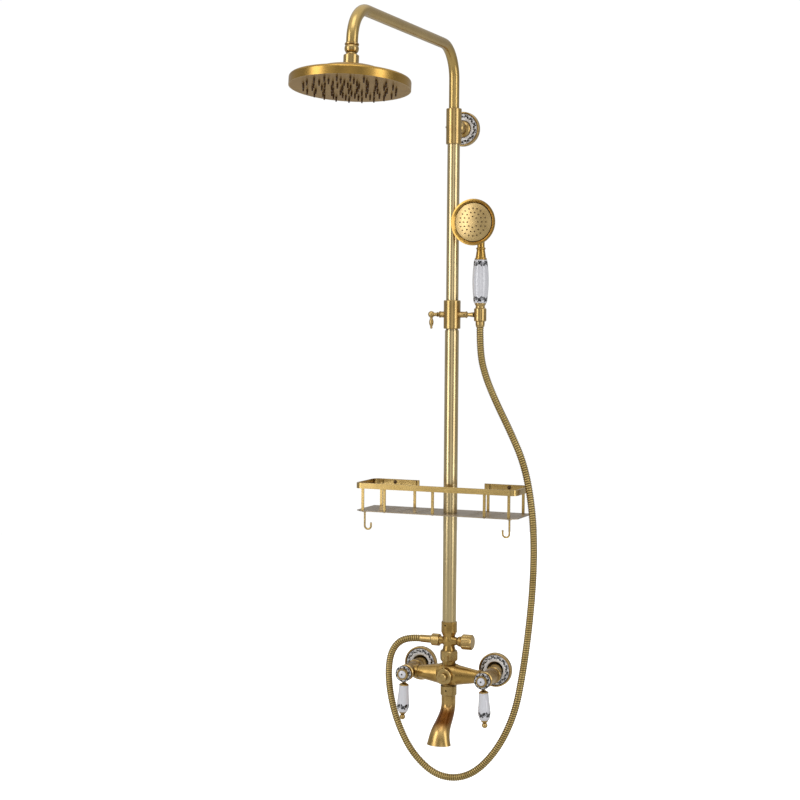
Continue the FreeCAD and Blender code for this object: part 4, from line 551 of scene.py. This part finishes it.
def plain_material(name, base, shade, roughness, specks):
    """One even colour with faint mottling, so many specks to the metre."""
    made = bpy.data.materials.new(name)
    made.use_nodes = True
    tree = made.node_tree
    shader = tree.nodes["Principled BSDF"]
    shader.inputs["Roughness"].default_value = roughness
    place = add_node(tree, "ShaderNodeTexCoord")
    speck = add_node(tree, "ShaderNodeTexNoise", {"Vector": place.outputs["Object"]},
                     in_Scale=specks)
    tone = add_node(tree, "ShaderNodeMix", {0: speck.outputs["Fac"]}, data_type="RGBA",
                    in_6=linear(base), in_7=linear(shade))
    tree.links.new(tone.outputs[2], shader.inputs["Base Color"])
    return made


# Moulded acetal cases of the cartridges inside the barrels, matt and off-white.
dress(plain_material("cartridge_plastic", "#D9D6CC", "#C2BEB2", 0.5, 900), "valve_cartridges")

for hand, side in (("hot", -1), ("cold", 1)):
    body = f"{hand}_handle"
    dress(turned_brass, f"{body}_hub", f"{body}_finial")
    low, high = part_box(f"{body}_skirt")
    middle = (low + high) / 2
    skirt = spun_piece(f"{hand}_skirt", SKIRT_PROFILE, Vector((middle.x, high.y, middle.z)),
                       FLANGE_OUT, SKIRT_VINES,
                       lambda r, h: r - SKIRT_BAND if h > SKIRT_BACK else NO_VINE, ring_glaze)
    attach(skirt, body)
    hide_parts(f"{body}_skirt")
    low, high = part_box(f"{body}_cap")
    middle = (low + high) / 2
    cap = spun_piece(f"{hand}_cap", CAP_PROFILE, Vector((middle.x, high.y, middle.z)),
                     FLANGE_OUT, 0, lambda r, h: r * VINE_STEM / CAP_DOT, shaded_glaze)
    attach(cap, body)
    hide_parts(f"{body}_cap")
    lean = math.radians(HANDLE_LEAN)
    down = Vector((side * math.sin(lean), 0, -math.cos(lean)))
    low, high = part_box(f"{body}_grip")
    valve = Vector((side * VALVE_ACROSS, (low.y + high.y) / 2, VALVE_HEIGHT))
    grip = spun_piece(f"{hand}_grip", GRIP_PROFILE, valve + down * GRIP_DROP, down, GRIP_VINES,
                      lambda r, h: (h - GRIP_BAND) / GRIP_STRETCH, shaded_glaze)
    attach(grip, body)
    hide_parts(f"{body}_grip")


# ---- bath and shower dial ----
# A turned brass dial on the front of the mixer that sends the water to the spout or up the
# column. A slim pin screwed into its rim is the lever.
dress(turned_brass, "tub_dial", "tub_dial_pin")


# ---- spout ----
# A swan-necked spout cast in brass and held in a turned collar by a set screw; painted shade
# darkens it down its middle, and it flares to an oval mouth.
SPOUT_PAINTED_SHADE = (               # painted shade that darkens the brass, from the mouth up to the collar
    (0.26, "#FFFFFF"), (0.42, "#B98E62"), (0.56, "#B98E62"), (0.74, "#FFFFFF"),
)
spout_low, spout_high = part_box("spout")
# Spout brass, with painted shade multiplied in down its middle.
spout_brass = patina_brass("spout_painted_shade_brass", "#CDAB68", "#A3824A", 0.27, 0.0009,
                           cloud=0.028, share=0.5)
tree = spout_brass.node_tree
patina_and_shade = tree.nodes["Principled BSDF"].inputs["Base Color"].links[0].from_socket
place = add_node(tree, "ShaderNodeTexCoord")
parts = add_node(tree, "ShaderNodeSeparateXYZ", {0: place.outputs["Object"]})
bend = add_node(tree, "ShaderNodeMapRange", {"Value": parts.outputs["Z"]},
                in_1=spout_low.z, in_2=spout_high.z)
ramp = add_node(tree, "ShaderNodeValToRGB", {0: bend.outputs[0]})
for end in ramp.color_ramp.elements:
    end.color = linear("#FFFFFF")
for height, code in SPOUT_PAINTED_SHADE:
    ramp.color_ramp.elements.new(height).color = linear(code)
# Painted shade: the ramp darkens the spout down the middle of its height.
shade = add_node(tree, "ShaderNodeMix", {6: patina_and_shade, 7: ramp.outputs[0]}, data_type="RGBA",
                 blend_type="MULTIPLY", in_0=1.0)
tree.links.new(shade.outputs[2], tree.nodes["Principled BSDF"].inputs["Base Color"])
dress(spout_brass, "spout")
dress(turned_brass, "spout_collar")


# ---- diverter tee ----
# A cast brass cross between the mixer and the column. Its fluted knob turns a spool that sends
# the water to the rain head or to the hose.
dress(cast_brass, "diverter_tee")
dress(turned_brass, "diverter_knob", "hose_bottom_nut")
# Case-hardened steel socket screws, blackened in hot oxide: nearly black with a dull sheen.
black_steel = patina_brass("blackened_steel", "#141210", "#0A0908", 0.45, 0.0006)
dress(black_steel, "grub_screws")


# ---- column tubes ----
# Three lengths of drawn brass tube that slide into each other: brushed along their length on a
# belt, then lacquered, so the light runs down them in long soft stripes.
TUBE_BRUSHING = 0.0009        # drawn coarser than the real 0.1 mm grit lines so that it shows
tube_brass = patina_brass("brushed_brass_tube", "#D6C08D", "#B59A64", 0.21, TUBE_BRUSHING,
                          stretch=(1, 1, 0.02), cloud=0.09, share=0.4, coat=0.8)
dress(tube_brass, "riser_lower", "riser_middle", "riser_upper")


# ---- top wall bracket ----
# A brass collar that grips the column, on a neck with a ball knuckle. Its boss hides the plate
# screwed to the wall, and the thumb screw on the ball locks the arm.
dress(turned_brass, "bracket_body", "bracket_boss", "bracket_lock")
# Steel bronzed in a chemical bath: dark brown, a little rough.
bronzed_steel = patina_brass("bronzed_steel", "#5A4326", "#3A2A16", 0.42, 0.0008)
dress(bronzed_steel, "bracket_plate", "wall_screws")


# ---- shower arm ----
# The arm is one bent brass tube, brushed like the column, that slides and turns in it on a
# plastic ring.
arm_brass = patina_brass("brushed_brass_arm", "#C9AB69", "#A38447", 0.27, TUBE_BRUSHING,
                         cloud=0.09, share=0.4)
dress(arm_brass, "arm_tube")
# Natural acetal, machined: creamy white, slightly waxy.
acetal = plain_material("machined_acetal", "#ECE7D6", "#D9D2BC", 0.38, 600)
dress(acetal, "arm_guide", "slider_bush", "swivel_seat")


# ---- swivel and rain head ----
# A turned end piece with a ball carries the rain head, a dome spun from brass sheet with a
# brass face plate. Soft nipples of one silicone mat stand through the holes of the plate.
spun_brass = patina_brass("spun_antique_brass", "#BF9950", "#956F33", 0.26, 0.0010,
                          cloud=0.05, share=0.45, coat=0.0)
dress(turned_brass, "swivel_adapter", "swivel_nut")
dress(spun_brass, "rain_head_shell")
# The face plate under the dome is drawn darker than the dome, as painted shade, and rougher.
face_brass = patina_brass("face_brass_painted_shade", "#B08A40", "#89652A", 0.36, 0.0010,
                          cloud=0.05, share=0.45, coat=0.0)
dress(face_brass, "rain_head_face")
# Silicone rubber moulded in a dark brown tint: satin, with a soft highlight down each nipple.
silicone = plain_material("brown_silicone", "#5B3D1A", "#34210C", 0.22, 220)
silicone.node_tree.nodes["Principled BSDF"].inputs["IOR"].default_value = 1.41
dress(silicone, "rain_head_nozzles", "handset_nozzles")


# ---- slider and cradle ----
# A turned brass collar that slides on the column on a plastic bush. Its left boss holds the lock
# screw with a small hanging lever, and its right arm carries the cradle on a pivot.
dress(turned_brass, "slider_collar", "slider_lock", "handset_cradle")


# ---- hand shower ----
# Brass neck, cup and tail with a porcelain grip held between them on a threaded rod. The domed
# spray plate is drilled for three rings of small nozzles.
HANDSET_GRIP_PROFILE = (      # radius and distance up the grip, mm
    (6.1, 0.0), (11.0, 0.0), (12.0, 0.8), (12.6, 3.0), (13.5, 12.0), (14.7, 26.0),
    (15.2, 40.0), (14.7, 54.0), (13.5, 68.0), (12.6, 77.0), (12.0, 79.2), (11.0, 80.0),
    (6.1, 80.0),
)
HANDSET_BAND = 32.5           # from the grip's middle to each vine's middle line, mm
HANDSET_VINES = 6
dress(turned_brass, "handset_tail", "hose_top_nut")
# The spray plate is brushed finer and kept paler than the rest.
plate_brass = patina_brass("satin_brass_plate", "#D2B57C", "#B8985C", 0.34, 0.0008,
                           cloud=0.06, share=0.25)
dress(plate_brass, "handset_face")
dress(spun_brass, "handset_head")
low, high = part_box("handset_grip")
middle = (low + high) / 2
grip_middle = HANDSET_GRIP_PROFILE[-1][1] / 2
handset_grip = spun_piece(
    "handset_grip_glazed", HANDSET_GRIP_PROFILE, Vector((middle.x, middle.y, low.z)),
    Vector((0, 0, 1)), HANDSET_VINES,
    lambda r, h: (abs(h - grip_middle) - HANDSET_BAND) / GRIP_STRETCH, shaded_glaze)
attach(handset_grip, "handset")
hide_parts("handset_grip")


# ---- shelf ----
# A flat brass rail bent round the front and sides and screwed to the wall, with upright strips
# riveted through a slotted bronze sheet, and a wire hook under each end.
shelf_brass = patina_brass("brushed_brass_flat_bar", "#CBAD6C", "#A38345", 0.26, 0.0009,
                           stretch=(0.05, 1, 1), cloud=0.06, share=0.5)
dress(shelf_brass, "shelf_rail", "shelf_posts", "shelf_rivets", "shelf_hooks")
# Rolled bronze sheet under a brown lacquer: greyish brown, semi-matt, faintly streaked.
shelf_bronze = patina_brass("lacquered_bronze_sheet", "#AC9C85", "#8A7B64", 0.42, 0.0012,
                            stretch=(0.1, 1, 1), cloud=0.04, share=0.6)
dress(shelf_bronze, "shelf_plate")

low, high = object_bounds()
